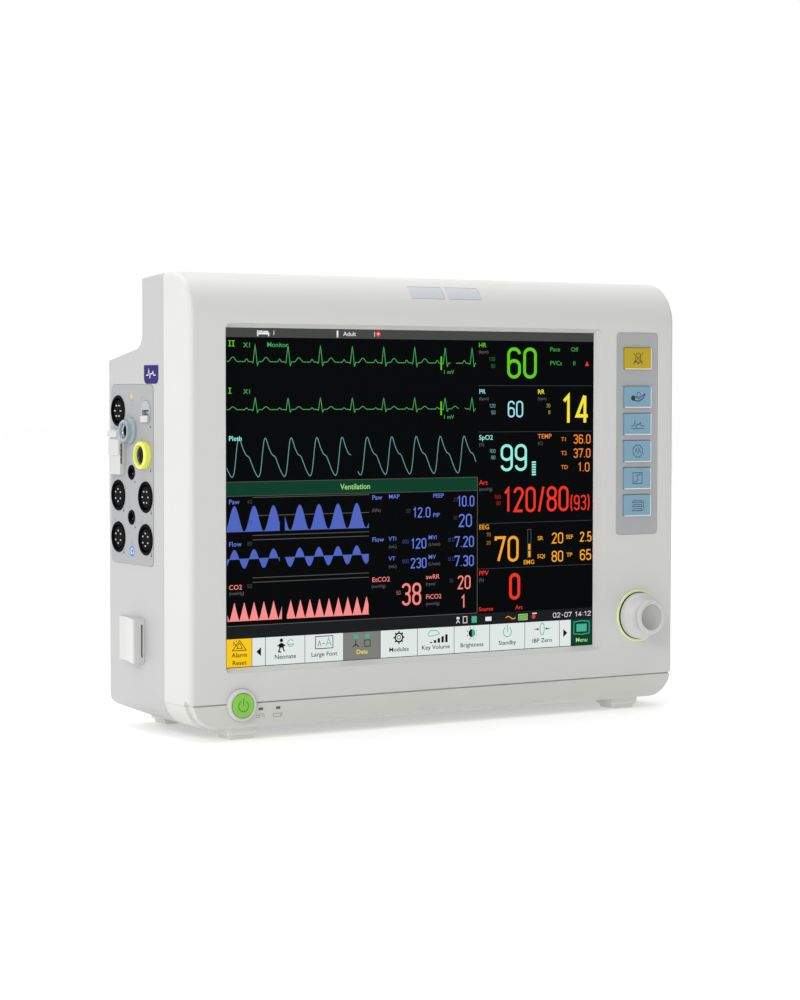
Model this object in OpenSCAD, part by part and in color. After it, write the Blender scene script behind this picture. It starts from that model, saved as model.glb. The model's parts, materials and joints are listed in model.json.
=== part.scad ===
// Bedside patient monitor: a wide screen in a moulded two-part case, with a key column, a
// push-and-turn knob, a power button, a panel of sensor sockets on the left wall and a strip
// recorder and a battery behind doors on the right wall.
// Every module is drawn with x = 0 on the case's middle plane, y = 0 on the front face
// (y grows towards the back) and z = 0 on the table. place() moves all of it into the row frame.

/* [Case] */
// Width of the case
body_w = 404.7; // [396:0.1:430]
// Height of the case's top above the table
body_h = 314.2; // [312:0.1:330]
// Depth from the front face to the back wall
body_d = 126.3; // [124:0.1:140]
// Depth of the front bezel, up to its seam with the rear housing
bezel_d = 37.5; // [36:0.5:40]
// Height of the front feet
foot_h = 8.2; // [7:0.1:9]
// Height of the seam between the bezel and the lower strip
seam_z = 25; // [24.5:0.1:25.5]
// Radius of the brow where the front rolls over into the top
brow_r = 30; // [26:1:32]
// Radius of the bezel's upright edges
edge_r = 4; // [3:0.5:6]
// Radius of the two bottom corners, seen from the front
corner_r = 20; // [18:1:22]
// Thickness of the moulded walls
wall = 2.8; // [2.4:0.1:3]

/* [Screen] */
// Width of the lit picture area
screen_w = 304.1; // [300:0.1:306]
// Height of the lit picture area
screen_h = 228.1; // [224:0.1:229]
// Left edge of the picture area
screen_x = -172.25; // [-174:0.05:-170]
// Bottom edge of the picture area
screen_z = 48.7; // [47:0.1:50]
// How far the picture area lies behind the front face
screen_sink = 5.3; // [4:0.1:6]

/* [Controls] */
// Width of a key
key_w = 24.5; // [20:0.1:26]
// Height of a key
key_h = 15.4; // [14:0.1:16]
// Middle of the key column
key_x = 167.85; // [166:0.05:169]
// Height of the bottom key's middle
key_low_z = 150.55; // [148:0.05:152]
// Step from one key to the next in the group of five
key_pitch = 19.95; // [19:0.05:20.5]
// Height of the alarm key's middle
key_top_z = 258.5; // [256:0.5:260]
// Travel of a key
key_travel = 0.8; // [0.5:0.1:0.8]
// Middle of the knob across the front
knob_x = 169.3; // [166:0.1:172]
// Height of the knob's middle
knob_z = 69; // [66:0.5:72]
// How far the knob's cap stands in front of the face
knob_reach = 17.5; // [16:0.5:20]
// Middle of the power button across the front
power_x = -164; // [-168:0.5:-160]
// Height of the power button's middle
power_z = 24; // [23.5:0.1:24.5]

/* [Left wall] */
// Front edge of the sensor panel, behind the front face
panel_y0 = 52.6; // [52:0.1:54]
// Rear edge of the sensor panel
panel_y1 = 117.3; // [116:0.1:118]
// Bottom of the sensor panel
panel_z0 = 115.2; // [114:0.1:116]
// Top of the sensor panel
panel_z1 = 238.6; // [238:0.1:240]
// How far the cable hook stands off the wall
hook_reach = 8.5; // [7.5:0.5:10]

/* [Right and back wall] */
// How far the recorder door stands proud of the wall
door_proud = 1; // [0.5:0.1:1]
// How far the earth stud stands out of the back wall
stud_reach = 14; // [12:0.5:16]
// Radius of the earth stud
stud_r = 3; // [3:0.1:3]
// Spacing of the four mounting holes in the back wall, both ways
mount_pitch = 75; // [75:1:75]
// Radius of a mounting hole
mount_hole_r = 2.15; // [2:0.05:2.25]

/* [Hidden] */
$fn = 64;
hw = body_w / 2;
gap = 0.15;
seam_gap = 0.05;
groove = [1.2, 0.5, 9];
notch = [2.3, 3.5, 8];
back_y0 = bezel_d + 0.3;
under_slope = 0.08;
shift_x = (hook_reach - door_proud) / 2;
shift_y = (knob_reach - body_d - stud_reach) / 2;

window_x0 = screen_x - 3.1;
window_x1 = screen_x + screen_w + 2.7;
window_z0 = screen_z - 3.4;
window_z1 = screen_z + screen_h + 2.9;

key_zs = [key_top_z, for (i = [4 : -1 : 0]) key_low_z + i * key_pitch];
key_panel_w = 38;
key_panel_z0 = 129.1;
key_panel_z1 = 277.4;

strip_r = 3;

alarm_z0 = 298.9;
alarm_z1 = 307.2;
alarm_split = 3.4;
alarm_half = 27.4;
alarm_mid = 3;

// Sensor sockets on the left panel, each as [y, z]
ecg_at = [106, 220.5];
sensor_at = [[106, 162], [63.9, 162], [106, 133], [63.9, 133]];
jack_at = [[85.3, 178.4], [85.3, 147.4]];
oxi_at = [63, 221];
cuff_at = [86.8, 206.9];
gas_at = [64.7, 190.5];
bracket_at = [104.8, 192];
socket_r = 10.7;
jack_r = 5.1;
cuff_r = 9.2;
gas_r = 9.4;

// Recorder in the right wall: its case, door and roll
rec_y0 = 44.2;
rec_y1 = 115.8;
rec_z0 = 128.2;
rec_z1 = 217.8;
rec_x0 = 142;
rec_wall = 2.4;
rec_door_top = 203;
rec_pin_x = hw + door_proud - 2.2;
rec_pin_z = 134;
roll_x = 171;
roll_z = 160;
roll_r = 21;
platen_x = 194.5;
platen_z = 196.5;
platen_r = 5;

// Battery bay in the right wall
bay_x0 = 40;
bay_y0 = 58;
bay_y1 = 114;
bay_z0 = 36;
bay_z1 = 82;
bay_wall = 2;
bay_pin_x = hw - 2.2;
bay_pin_z = bay_z0 + bay_wall + 2.7;
knuckle_r = 2.2;
pin_r = 1.2;

fan_at = [-95, 190];
speaker_at = [70, 185];
inlet_at = [-150, 46];
stud_at = [-105, 46];
net_at = [-50, 46];
usb_at = [[-18, 46], [4, 46]];
mount_z = 122.5;
screw_at = [[-185, 292, 69], [185, 292, 69], [-185, 100, body_d], [185, 100, body_d]];
grip = [70, 281, 304, 47];

// ---- helpers -------------------------------------------------------------------------

module place() {
  translate([shift_x, shift_y, 0]) children();
}

// Box from its lowest to its highest corner
module box(a, b) {
  translate(a) cube(b - a);
}

// Round bar between two values of x, y or z
module bar_x(x0, x1, y, z, r) {
  translate([x0, y, z]) rotate([0, 90, 0]) cylinder(h = x1 - x0, r = r);
}

module bar_y(y0, y1, x, z, r) {
  translate([x, y0, z]) rotate([-90, 0, 0]) cylinder(h = y1 - y0, r = r);
}

module bar_z(z0, z1, x, y, r) {
  translate([x, y, z0]) cylinder(h = z1 - z0, r = r);
}

// Points of an arc about c
function arc(c, r, a0, a1, n) =
  [for (i = [0 : n]) c + r * [cos(a0 + (a1 - a0) * i / n), sin(a0 + (a1 - a0) * i / n)]];

// Rectangle with round corners
function rounded(x0, y0, x1, y1, r, n = 8) = concat(
  arc([x1 - r, y0 + r], r, -90, 0, n), arc([x1 - r, y1 - r], r, 0, 90, n),
  arc([x0 + r, y1 - r], r, 90, 180, n), arc([x0 + r, y0 + r], r, 180, 270, n));

// Outline given as [y, z], pulled along x
module along_x(x0, x1, pts) {
  translate([x0, 0, 0]) rotate([90, 0, 90]) linear_extrude(x1 - x0) polygon(pts);
}

// Outline given as [x, z], pulled along y
module along_y(y0, y1, pts) {
  translate([0, y1, 0]) rotate([90, 0, 0]) linear_extrude(y1 - y0) polygon(pts);
}

// Outline given as [x, y], pulled along z
module along_z(z0, z1, pts) {
  translate([0, 0, z0]) linear_extrude(z1 - z0) polygon(pts);
}

// Turned shape that faces the front; its profile is [radius, distance in front of the face]
module turned_front(x, z, pts) {
  translate([x, 0, z]) rotate([90, 0, 0]) rotate_extrude() polygon(pts);
}

// Turned shape that faces left; its profile is [radius, distance out of the left wall]
module turned_left(y, z, pts) {
  translate([-hw, y, z]) rotate([0, -90, 0]) rotate_extrude() polygon(pts);
}

// Block with four sloping sides: a rectangle a at height z0 and a rectangle b at height z1,
// each given as [x0, y0, x1, y1]
module sloped_block(z0, z1, a, b) {
  intersection() {
    along_y(min(a[1], b[1]), max(a[3], b[3]), [[a[0], z0], [a[2], z0], [b[2], z1], [b[0], z1]]);
    along_x(min(a[0], b[0]), max(a[2], b[2]), [[a[1], z0], [a[3], z0], [b[3], z1], [b[1], z1]]);
  }
}

// ---- outer forms ---------------------------------------------------------------------

// Side profile of the bezel, pulled in by e: flat front, round brow, flat top
function brow_profile(e, z0, y1) = concat(
  [[e, z0], [y1, z0], [y1, body_h - e]],
  arc([brow_r, body_h - brow_r], brow_r - e, 90, 180, 20));

// Bezel form whose side edges roll over with the radius edge_r all along the profile
module bezel_form(z0, y1) {
  hull() for (a = [0 : 18 : 90])
    along_x(-hw + edge_r * (1 - sin(a)), hw - edge_r * (1 - sin(a)),
            brow_profile(edge_r * (1 - cos(a)), z0, y1));
}

// Space inside the bezel, e behind its outer faces
module bezel_hollow(e, z0, y1) {
  along_x(-hw + e, hw - e, brow_profile(e, z0, y1));
}

// Front outline of the lower strip, pulled in by e: straight sides, round bottom corners
function strip_outline(e) = concat(
  arc([hw - corner_r, foot_h + corner_r], corner_r - e, -90, -9.5, 14),
  arc([-hw + corner_r, foot_h + corner_r], corner_r - e, 189.5, 270, 14));

// Lower strip form whose front edge rolls over with the radius strip_r
module strip_form(z1, y1) {
  intersection() {
    box([-hw, 0, 0], [hw, y1, z1]);
    hull() for (a = [0 : 18 : 90])
      along_y(strip_r * (1 - sin(a)), y1, strip_outline(strip_r * (1 - cos(a))));
  }
}

// Side outline of the rear housing: sloping top, thin upper part, shelf, back wall, rising floor
function rear_outline(e, y0) = concat(
  [[y0, foot_h + e + (y0 - back_y0) * under_slope]],
  arc([body_d - 8, foot_h + 8 + under_slope * (body_d - 8 - back_y0)], 8 - e, -86, 0, 10),
  arc([body_d - 6, 249.3], 6 - e, 0, 80, 8),
  arc([80, 273.6], 11 + e, 260, 180, 10),
  [[69 - e, body_h - 3.6 - e], [y0, body_h - 0.3 - e]]);

module rear_form(e, y0) {
  intersection() {
    along_x(-hw + e, hw - e, rear_outline(e, y0));
    along_y(y0, body_d - e, concat(
      arc([hw - corner_r, foot_h + corner_r], corner_r - e, -90, 0, 16),
      arc([hw - edge_r, body_h - 0.3 - edge_r], edge_r - e, 0, 90, 6),
      arc([-hw + edge_r, body_h - 0.3 - edge_r], edge_r - e, 90, 180, 6),
      arc([-hw + corner_r, foot_h + corner_r], corner_r - e, 180, 270, 16)));
    along_z(0, body_h, concat(
      [[-hw + e, y0], [hw - e, y0]],
      arc([hw - 7, body_d - 7], 7 - e, 0, 90, 10),
      arc([-hw + 7, body_d - 7], 7 - e, 90, 180, 10)));
  }
}

// Sloped window through the bezel
module window_cut() {
  y_in = screen_sink + 0.01;
  intersection() {
    along_z(window_z0, window_z1, [[window_x0, -0.01], [window_x1, -0.01],
      [screen_x + screen_w, y_in], [screen_x, y_in]]);
    along_x(window_x0, window_x1, [[-0.01, window_z0], [y_in, screen_z],
      [y_in, screen_z + screen_h], [-0.01, window_z1]]);
    along_y(-0.01, y_in, rounded(window_x0, window_z0, window_x1, window_z1, 4));
  }
}

// Groove along the seam, in both pieces: groove holds its depth, half its width and how far it
// runs back along the sides
module seam_groove() {
  difference() {
    box([-hw - 1, -1, seam_z - groove[1]], [hw + 1, groove[2], seam_z + groove[1]]);
    along_z(seam_z - 1, seam_z + 1,
            rounded(-hw + groove[0], groove[0], hw - groove[0], bezel_d, edge_r));
  }
}

// Notch at each end of the seam, in both pieces: notch holds how far it cuts in, how far it
// rises up the bezel's edge and how far it runs back
module seam_notch() {
  for (side = [-1, 1])
    along_y(-1, notch[2], [for (p = concat(
      [[hw + 1, foot_h - 1], [hw + 1, seam_z + notch[1] * (1 + 1 / notch[0])],
       [hw - notch[0] - 0.27, seam_z]],
      arc([hw - corner_r - notch[0], foot_h + corner_r], corner_r, -9.5, -85, 14),
      [[hw - corner_r - notch[0] + 1.7, foot_h - 1]])) [side * p[0], p[1]]]);
}

// ---- case ----------------------------------------------------------------------------

module front_bezel() {
  color([0.90, 0.90, 0.88]) place() difference() {
    union() {
      difference() {
        bezel_form(seam_z + seam_gap, bezel_d);
        bezel_hollow(3, seam_z + seam_gap + 3, bezel_d + 1);
      }
      box([window_x0 - 4, 2.9, window_z0 - 4], [window_x1 + 4, screen_sink, window_z1 + 3.5]);
      for (x = [key_x - 16, key_x + 16], z = [key_panel_z0 - 1, key_panel_z1 - 1])
        bar_y(2.9, 6, x, z, 1.8);
    }
    window_cut();
    seam_groove();
    seam_notch();
    along_y(-1, 1.2, rounded(key_x - key_panel_w / 2 - gap, key_panel_z0 - gap,
                             key_x + key_panel_w / 2 + gap, key_panel_z1 + gap, 3 + gap));
    for (z = key_zs) key_hole(z, 2);
    bar_y(-1, 4, knob_x, knob_z, 19.55);
    bar_y(-1, 16, power_x, power_z, 11.15);
    for (s = [-1, 1]) alarm_block(s, gap);
  }
}

// Hole for one key's cap through the panel or the bezel
module key_hole(z, depth) {
  box([key_x - key_w / 2 - 0.3, -2, z - key_h / 2 - 0.3],
      [key_x + key_w / 2 + 0.3, depth + 1.5, z + key_h / 2 + 0.3]);
}

// Space of one half of the alarm lamp, from the front to behind the brow
module alarm_block(side, grow) {
  x0 = alarm_mid + (side < 0 ? -alarm_split / 2 - alarm_half : alarm_split / 2);
  box([x0 - grow, -1, alarm_z0 - grow], [x0 + alarm_half + grow, 17, alarm_z1 + grow]);
}

module lower_fascia() {
  color([0.81, 0.81, 0.79]) place() difference() {
    strip_form(seam_z - seam_gap, bezel_d);
    intersection() {
      box([-hw, 3, 0], [hw, bezel_d + 1, seam_z - seam_gap - 3]);
      along_y(3, bezel_d + 1, strip_outline(3 + notch[0]));
    }
    seam_groove();
    seam_notch();
    bar_y(-1, 16, power_x, power_z, 11.15);
    for (x = [15.3, 28.6]) lamp_box(power_x + x, 0.1, -1, 4);
  }
}

module rear_housing() {
  color([0.80, 0.80, 0.79]) place() difference() {
    union() {
      difference() {
        rear_form(0, back_y0);
        rear_form(wall, back_y0 - 1);
      }
      intersection() {
        box([-grip[0] - 2.5, grip[3] - 2.5, grip[1] - 2.5],
            [grip[0] + 2.5, 68, grip[2] + 2.5]);
        rear_form(1, back_y0);
      }
      for (x = [-1, 1], z = [-1, 1])
        bar_y(body_d - 11, body_d - 1, x * mount_pitch / 2, mount_z + z * mount_pitch / 2, 5);
      for (s = screw_at) bar_y(s[2] - 8, s[2] - 1, s[0], s[1], 5);
    }
    box([-grip[0], grip[3], grip[1]], [grip[0], 75, grip[2]]);
    along_x(-hw - 1, -hw + 4, rounded(panel_y0 - gap, panel_z0 - gap, panel_y1 + gap,
                                      panel_z1 + gap, 4 + gap));
    box([hw - 4, rec_y0 - gap, rec_z0 - gap], [hw + 1, rec_y1 + gap, rec_z1 + gap]);
    box([hw - 4, bay_y0 - gap, bay_z0 - gap], [hw + 1, bay_y1 + gap, bay_z1 + gap]);
    for (x = [-1, 1], z = [-1, 1])
      bar_y(body_d - 10, body_d + 1, x * mount_pitch / 2, mount_z + z * mount_pitch / 2,
            mount_hole_r);
    for (s = screw_at) {
      bar_y(s[2] - 9, s[2] + 1, s[0], s[1], 1.6);
      bar_y(s[2] - 2.1, s[2] + 1, s[0], s[1], 3.1);
    }
    for (i = [-4 : 4]) box([fan_at[0] + i * 6 - 1.2, body_d - 4, fan_at[1] - 25],
                           [fan_at[0] + i * 6 + 1.2, body_d + 1, fan_at[1] + 25]);
    for (i = [-4 : 4]) box([speaker_at[0] + i * 5 - 1, body_d - 4, speaker_at[1] - 17],
                           [speaker_at[0] + i * 5 + 1, body_d + 1, speaker_at[1] + 17]);
    box([inlet_at[0] - 14, body_d - 4, inlet_at[1] - 10.4],
        [inlet_at[0] + 14, body_d + 1, inlet_at[1] + 10.4]);
    bar_y(body_d - 4, body_d + 1, stud_at[0], stud_at[1], 4.1);
    box([net_at[0] - 8, body_d - 4, net_at[1] - 7], [net_at[0] + 8, body_d + 1, net_at[1] + 7]);
    for (u = usb_at)
      box([u[0] - 7.2, body_d - 4, u[1] - 3.6], [u[0] + 7.2, body_d + 1, u[1] + 3.6]);
  }
}

// Rectangle of half sizes w and d about a point, as [x0, y0, x1, y1]
function about(x, y, w, d) = [x - w, y - d, x + w, y + d];

// Foot: a wide block under the case and a smaller pad on the table
module foot(x, y, z1) {
  sloped_block(0, 3, about(x, y, 8.8, 8.4), about(x, y, 9.6, 9));
  sloped_block(2.9, z1, about(x, y, 11, 10.2), about(x, y, 11.5, 10.6));
}

module front_feet() {
  color([0.83, 0.83, 0.80]) place()
    for (x = [-160, 161.5]) foot(x, 15.3, foot_h);
}

module rear_feet() {
  color([0.83, 0.83, 0.80]) place() difference() {
    for (x = [-160, 161.5]) foot(x, 110, foot_h + 8);
    rear_form(0, back_y0);
  }
}

module housing_screws() {
  color([0.55, 0.56, 0.58]) place() for (s = screw_at) difference() {
    union() {
      bar_y(s[2] - 2, s[2] - 0.1, s[0], s[1], 3);
      bar_y(s[2] - 8.5, s[2] - 1.9, s[0], s[1], 1.5);
    }
    translate([s[0], s[2] - 1.3, s[1]]) rotate([-90, 0, 0]) cylinder(h = 3, r = 1.4, $fn = 6);
  }
}

// ---- screen --------------------------------------------------------------------------

module touch_glass() {
  color([0.05, 0.05, 0.06]) place()
    box([screen_x - 3.5, screen_sink + 0.1, screen_z - 3.5],
        [screen_x + screen_w + 3.5, screen_sink + 1.9, screen_z + screen_h + 3.3]);
}

module lcd_panel() {
  color([0.25, 0.27, 0.30]) place() difference() {
    box([screen_x - 5.5, screen_sink + 2, screen_z - 5.5],
        [screen_x + screen_w + 5.5, 17, screen_z + screen_h + 5.3]);
    for (i = [-2 : 2]) box([i * 50 - 30, 15.4, 60], [i * 50 - 4, 18, 265]);
  }
}

module chassis_plate() {
  color([0.70, 0.71, 0.73]) place() difference() {
    union() {
      box([-190, 17.1, 34], [140, 19.1, 284]);
      for (x = [-140, 110], z = [80, 250]) bar_y(19, 27, x, z, 4);
    }
    for (x = [-140, 110], z = [80, 250]) bar_y(22, 28, x, z, 1.3);
    for (x = [-165, 125], z = [50, 268]) bar_y(16, 20, x, z, 2.2);
  }
}

module alarm_lens(side) {
  color([0.80, 0.82, 0.84]) place() intersection() {
    difference() {
      bezel_form(seam_z + gap, bezel_d);
      bezel_hollow(2.6, seam_z, bezel_d + 1);
    }
    alarm_block(side, 0);
  }
}

module alarm_board() {
  color([0.10, 0.35, 0.20]) place() {
    box([-32, 16.5, 298], [38, 32, 299.6]);
    for (i = [-3 : 3]) box([alarm_mid + i * 8.4 - 1.6, 17.5, 299.5],
                           [alarm_mid + i * 8.4 + 1.6, 20.5, 301.4]);
  }
}

// ---- controls ------------------------------------------------------------------------

module key_panel() {
  color([0.67, 0.68, 0.68]) place() difference() {
    along_y(0.2, 1.1, rounded(key_x - key_panel_w / 2, key_panel_z0, key_x + key_panel_w / 2,
                               key_panel_z1, 3));
    for (z = key_zs) key_hole(z, 2);
  }
}

module key_cap(i, tint) {
  z = key_zs[i - 1];
  color(tint) place() {
    along_y(-0.9, 3.4, rounded(key_x - key_w / 2, z - key_h / 2,
                               key_x + key_w / 2, z + key_h / 2, 1));
    box([key_x - key_w / 2 - 1.1, 3.3, z - key_h / 2 - 0.9],
        [key_x + key_w / 2 + 1.1, 4.2, z + key_h / 2 + 0.9]);
  }
}

module key_1() { key_cap(1, [0.71, 0.64, 0.14]); }
module key_2() { key_cap(2, [0.49, 0.64, 0.72]); }
module key_3() { key_cap(3, [0.49, 0.64, 0.72]); }
module key_4() { key_cap(4, [0.49, 0.64, 0.72]); }
module key_5() { key_cap(5, [0.49, 0.64, 0.72]); }
module key_6() { key_cap(6, [0.49, 0.64, 0.72]); }

module keypad_board() {
  color([0.10, 0.35, 0.20]) place() {
    box([key_x - 18, 6.1, key_panel_z0 - 4], [key_x + 18, 7.7, key_panel_z1 + 3]);
    for (z = key_zs) bar_y(4.3 + key_travel, 6.2, key_x, z, 3);
  }
}

module knob() {
  color([0.92, 0.92, 0.91]) place() turned_front(knob_x, knob_z, concat(
    [[3.02, 2], [16.1, 2], [16.9, 2.8], [16.9, 5.4]],
    arc([14.2, 5.4], 2.7, 10, 60, 4),
    [[13.2, 9]],
    arc([10.9, knob_reach - 1.6], 1.5, 0, 80, 4),
    [[10.2, knob_reach], [9.4, knob_reach - 0.5], [5, knob_reach - 1.5], [0, knob_reach - 1.8],
     [0, 12.2], [3.02, 12.2]]));
}

module knob_shaft() {
  color([0.72, 0.73, 0.75]) place() bar_y(-12.1, 9.3, knob_x, knob_z, 3);
}

module knob_ring() {
  color([0.80, 0.88, 0.55]) place() turned_front(knob_x, knob_z,
    [[5.4, -4.3], [21, -4.3], [21, -3.1], [19.4, -3.1], [19.4, 0.3], [18.9, 0.8], [5.4, 0.8]]);
}

module encoder_body() {
  color([0.20, 0.20, 0.22]) place() difference() {
    union() {
      box([knob_x - 8, 4.6, knob_z - 8], [knob_x + 8, 13.6, knob_z + 8]);
      bar_y(-0.4, 4.7, knob_x, knob_z, 4.8);
    }
    bar_y(-1, 9, knob_x, knob_z, 3.06);
    bar_y(8, 12, knob_x, knob_z, 5);
  }
}

module encoder_plunger() {
  color([0.85, 0.85, 0.80]) place() difference() {
    bar_y(8.3, 10.6, knob_x, knob_z, 4.93);
    bar_y(8, 9.5, knob_x, knob_z, 3.06);
  }
}

module power_button() {
  color([0.55, 0.80, 0.31]) place() turned_front(power_x, power_z,
    [[0, 3.7], [7.4, 3.6], [8.2, 2.9], [8.2, -2.4], [4, -2.4], [4, -7], [0, -7]]);
}

module power_ring() {
  color([0.88, 0.88, 0.87]) place() turned_front(power_x, power_z,
    [[8.4, 2.9], [9, 3.4], [9.9, 3.2], [11, 0.6], [11, -3.4], [8.4, -3.4]]);
}

module power_switch() {
  color([0.15, 0.15, 0.16]) place() box([power_x - 6, 8.4, power_z - 6],
                                        [power_x + 6, 14.4, power_z + 6]);
}

// Window of one status lamp
module lamp_box(x, grow, y0, y1) {
  box([x - 1.6 - grow, y0, 19.7 - grow], [x + 1.6 + grow, y1, 21.3 + grow]);
}

module status_lamps() {
  color([0.16, 0.20, 0.17]) place() for (x = [15.3, 28.6]) lamp_box(power_x + x, 0, -0.1, 3.6);
}

// ---- left wall -----------------------------------------------------------------------

module module_panel() {
  color([0.82, 0.82, 0.82]) place() difference() {
    union() {
      along_x(-hw - 0.4, -hw + 3, rounded(panel_y0, panel_z0, panel_y1, panel_z1, 4));
      box([-hw + wall + 0.1, panel_y0 - 2, panel_z0 - 2],
          [-hw + wall + 1.6, panel_y1 + 2, panel_z1 + 2]);
    }
    socket_hole(ecg_at, socket_r);
    for (p = sensor_at) socket_hole(p, socket_r);
    for (p = jack_at) socket_hole(p, jack_r);
    socket_hole(oxi_at, 6.9);
    socket_hole(cuff_at, cuff_r);
    socket_hole(gas_at, gas_r);
    box([-hw - 1, bracket_at[0] - 8 - gap, bracket_at[1] - 15.5 - gap],
        [-hw + 6, bracket_at[0] + 8 + gap, bracket_at[1] + 15.5 + gap]);
  }
}

module socket_hole(p, r) {
  bar_x(-hw - 1, -hw + 6, p[0], p[1], r + 0.1);
}

// Black round socket: a rim, a shallow well and an insert with a key notch
module round_socket(p) {
  color([0.06, 0.06, 0.07]) place() difference() {
    turned_left(p[0], p[1], [[0, -12], [socket_r, -12], [socket_r, 0.7], [socket_r - 0.5, 1.1],
      [9.1, 1.1], [8.7, -1.8], [7.6, -1.8], [7.4, 0.4], [0, 0.4]]);
    box([-hw - 2, p[0] - 1.2, p[1] + 6.4], [-hw + 1.8, p[0] + 1.2, p[1] + 8.4]);
  }
}

module ecg_socket() { round_socket(ecg_at); }
module sensor_socket_1() { round_socket(sensor_at[0]); }
module sensor_socket_2() { round_socket(sensor_at[1]); }
module sensor_socket_3() { round_socket(sensor_at[2]); }
module sensor_socket_4() { round_socket(sensor_at[3]); }

module temperature_jack(p) {
  color([0.08, 0.08, 0.09]) place() turned_left(p[0], p[1],
    [[0, -12], [jack_r, -12], [jack_r, 0.6], [jack_r - 0.4, 1], [3.2, 1], [2.9, -2.2], [0, -2.2]]);
}

module temperature_jack_1() { temperature_jack(jack_at[0]); }
module temperature_jack_2() { temperature_jack(jack_at[1]); }

// Blood-oxygen socket: a grey arch over a contact slot, with a small sill below
module oximeter_socket() {
  color([0.62, 0.64, 0.65]) place() difference() {
    union() {
      bar_x(-hw - 0.9, -hw + 10, oxi_at[0], oxi_at[1], 6.8);
      box([-hw - 2, oxi_at[0] - 5.4, oxi_at[1] - 8], [-hw - 0.45, oxi_at[0] + 5.4, oxi_at[1] - 3.4]);
    }
    box([-hw - 3, oxi_at[0] - 5.2, oxi_at[1] - 3.2], [-hw + 2.4, oxi_at[0] + 5.2, oxi_at[1] + 0.4]);
  }
}

// Air socket for the cuff hose
module cuff_port() {
  color([0.49, 0.55, 0.58]) place() turned_left(cuff_at[0], cuff_at[1], concat(
    [[5, -9], [cuff_r, -9], [cuff_r, 1]], arc([cuff_r - 1.3, 1.2], 1.3, 0, 65, 4),
    [[7.8, 3.2], [7.7, 5.3]], arc([6.8, 5.6], 0.9, 0, 90, 4), [[5.6, 6.5], [5, 5.9]]));
}

// Yellow ringed port for the breathing-gas line
module gas_port() {
  color([0.93, 0.95, 0.42]) place() turned_left(gas_at[0], gas_at[1], concat(
    [[6.4, -9], [gas_r, -9], [gas_r, 2]], arc([gas_r - 1.4, 4.1], 1.4, 0, 90, 6),
    [[7.2, 5.5], [6.4, 4.3]]));
}

// Box measured from the left wall and from the middle of the gas cell's holder
module bracket_box(x0, x1, y0, y1, z0, z1) {
  box([x0 - hw, bracket_at[0] + y0, bracket_at[1] + z0],
      [x1 - hw, bracket_at[0] + y1, bracket_at[1] + z1]);
}

// Holder of the gas cell: a stepped white block with a slot in its front side
module cell_bracket() {
  color([0.90, 0.90, 0.89]) place() difference() {
    union() {
      bracket_box(-3.6, 10, -8, 8, -15.5, 15.5);
      bracket_box(-4.8, -3, -8, 8, -2, 9);
      bracket_box(-5.8, -3, -6, 8, 10.5, 14.5);
    }
    bracket_box(-3, -1.4, -9, -5.5, -8, 6);
  }
}

// Cable hook: a wedge that rises towards the front, with a slot for a cable's loop in its
// front end, close to the wall
module cable_hook() {
  color([0.86, 0.86, 0.85]) place() difference() {
    along_z(48.2, 78.4, concat([[-hw - 0.05, 102.5], [-hw - 1.7, 102.5], [-hw - 2.1, 91.5]],
      arc([-hw - hook_reach + 1.2, 68.2], 1.2, 165, 270, 5), [[-hw - 0.05, 67]]));
    box([-hw - 2.6, 66, 52.3], [-hw - 1.2, 83, 74.6]);
  }
}

module parameter_board() {
  color([0.10, 0.35, 0.20]) place() {
    box([-189.9, 48, 108], [-188.3, 118, 244]);
    for (z = [120, 160, 200]) box([-188.4, 60, z], [-184, 100, z + 26]);
  }
}

// ---- inside --------------------------------------------------------------------------

module main_board() {
  color([0.08, 0.30, 0.18]) place() {
    box([-150, 27.1, 70], [120, 28.7, 262]);
    for (i = [0 : 3]) box([-130 + i * 60, 28.6, 100], [-100 + i * 60, 32, 130]);
    box([-40, 28.6, 160], [10, 40, 210]);
  }
}

module power_supply() {
  color([0.75, 0.76, 0.78]) place() difference() {
    box([-115, 48, 30], [25, 108, 75]);
    for (i = [0 : 10]) box([-105 + i * 11, 60, 72], [-101 + i * 11, 96, 76]);
  }
}

module cuff_pump() {
  color([0.30, 0.31, 0.34]) place() {
    bar_x(-176, -140, 80, 86, 14);
    bar_x(-141, -124, 80, 86, 17);
    bar_x(-125, -116, 80, 86, 3);
  }
}

module speaker() {
  color([0.14, 0.14, 0.15]) place() {
    bar_y(118, 123.3, speaker_at[0], speaker_at[1], 21);
    bar_y(108, 118.1, speaker_at[0], speaker_at[1], 12);
  }
}

module fan_frame() {
  color([0.12, 0.12, 0.13]) place() difference() {
    union() {
      difference() {
        box([fan_at[0] - 30, 108, fan_at[1] - 30], [fan_at[0] + 30, 123.3, fan_at[1] + 30]);
        bar_y(107, 124, fan_at[0], fan_at[1], 28.5);
      }
      bar_y(119.8, 123.3, fan_at[0], fan_at[1], 12);
      for (a = [45 : 90 : 315]) translate([fan_at[0], 0, fan_at[1]]) rotate([0, a, 0])
        box([10, 120.3, -1.5], [29, 122.8, 1.5]);
    }
    bar_y(118, 122.5, fan_at[0], fan_at[1], 1.56);
    for (x = [-25, 25], z = [-25, 25]) bar_y(107, 124, fan_at[0] + x, fan_at[1] + z, 2.15);
  }
}

module fan_rotor() {
  color([0.10, 0.10, 0.11]) place() {
    bar_y(109.5, 119.4, fan_at[0], fan_at[1], 12);
    bar_y(119.3, 122.2, fan_at[0], fan_at[1], 1.5);
    for (i = [0 : 6]) translate([fan_at[0], 114.4, fan_at[1]]) rotate([0, i * 360 / 7, 0])
      rotate([38, 0, 0]) box([11, -0.7, -5], [26.5, 0.7, 5]);
  }
}

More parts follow.
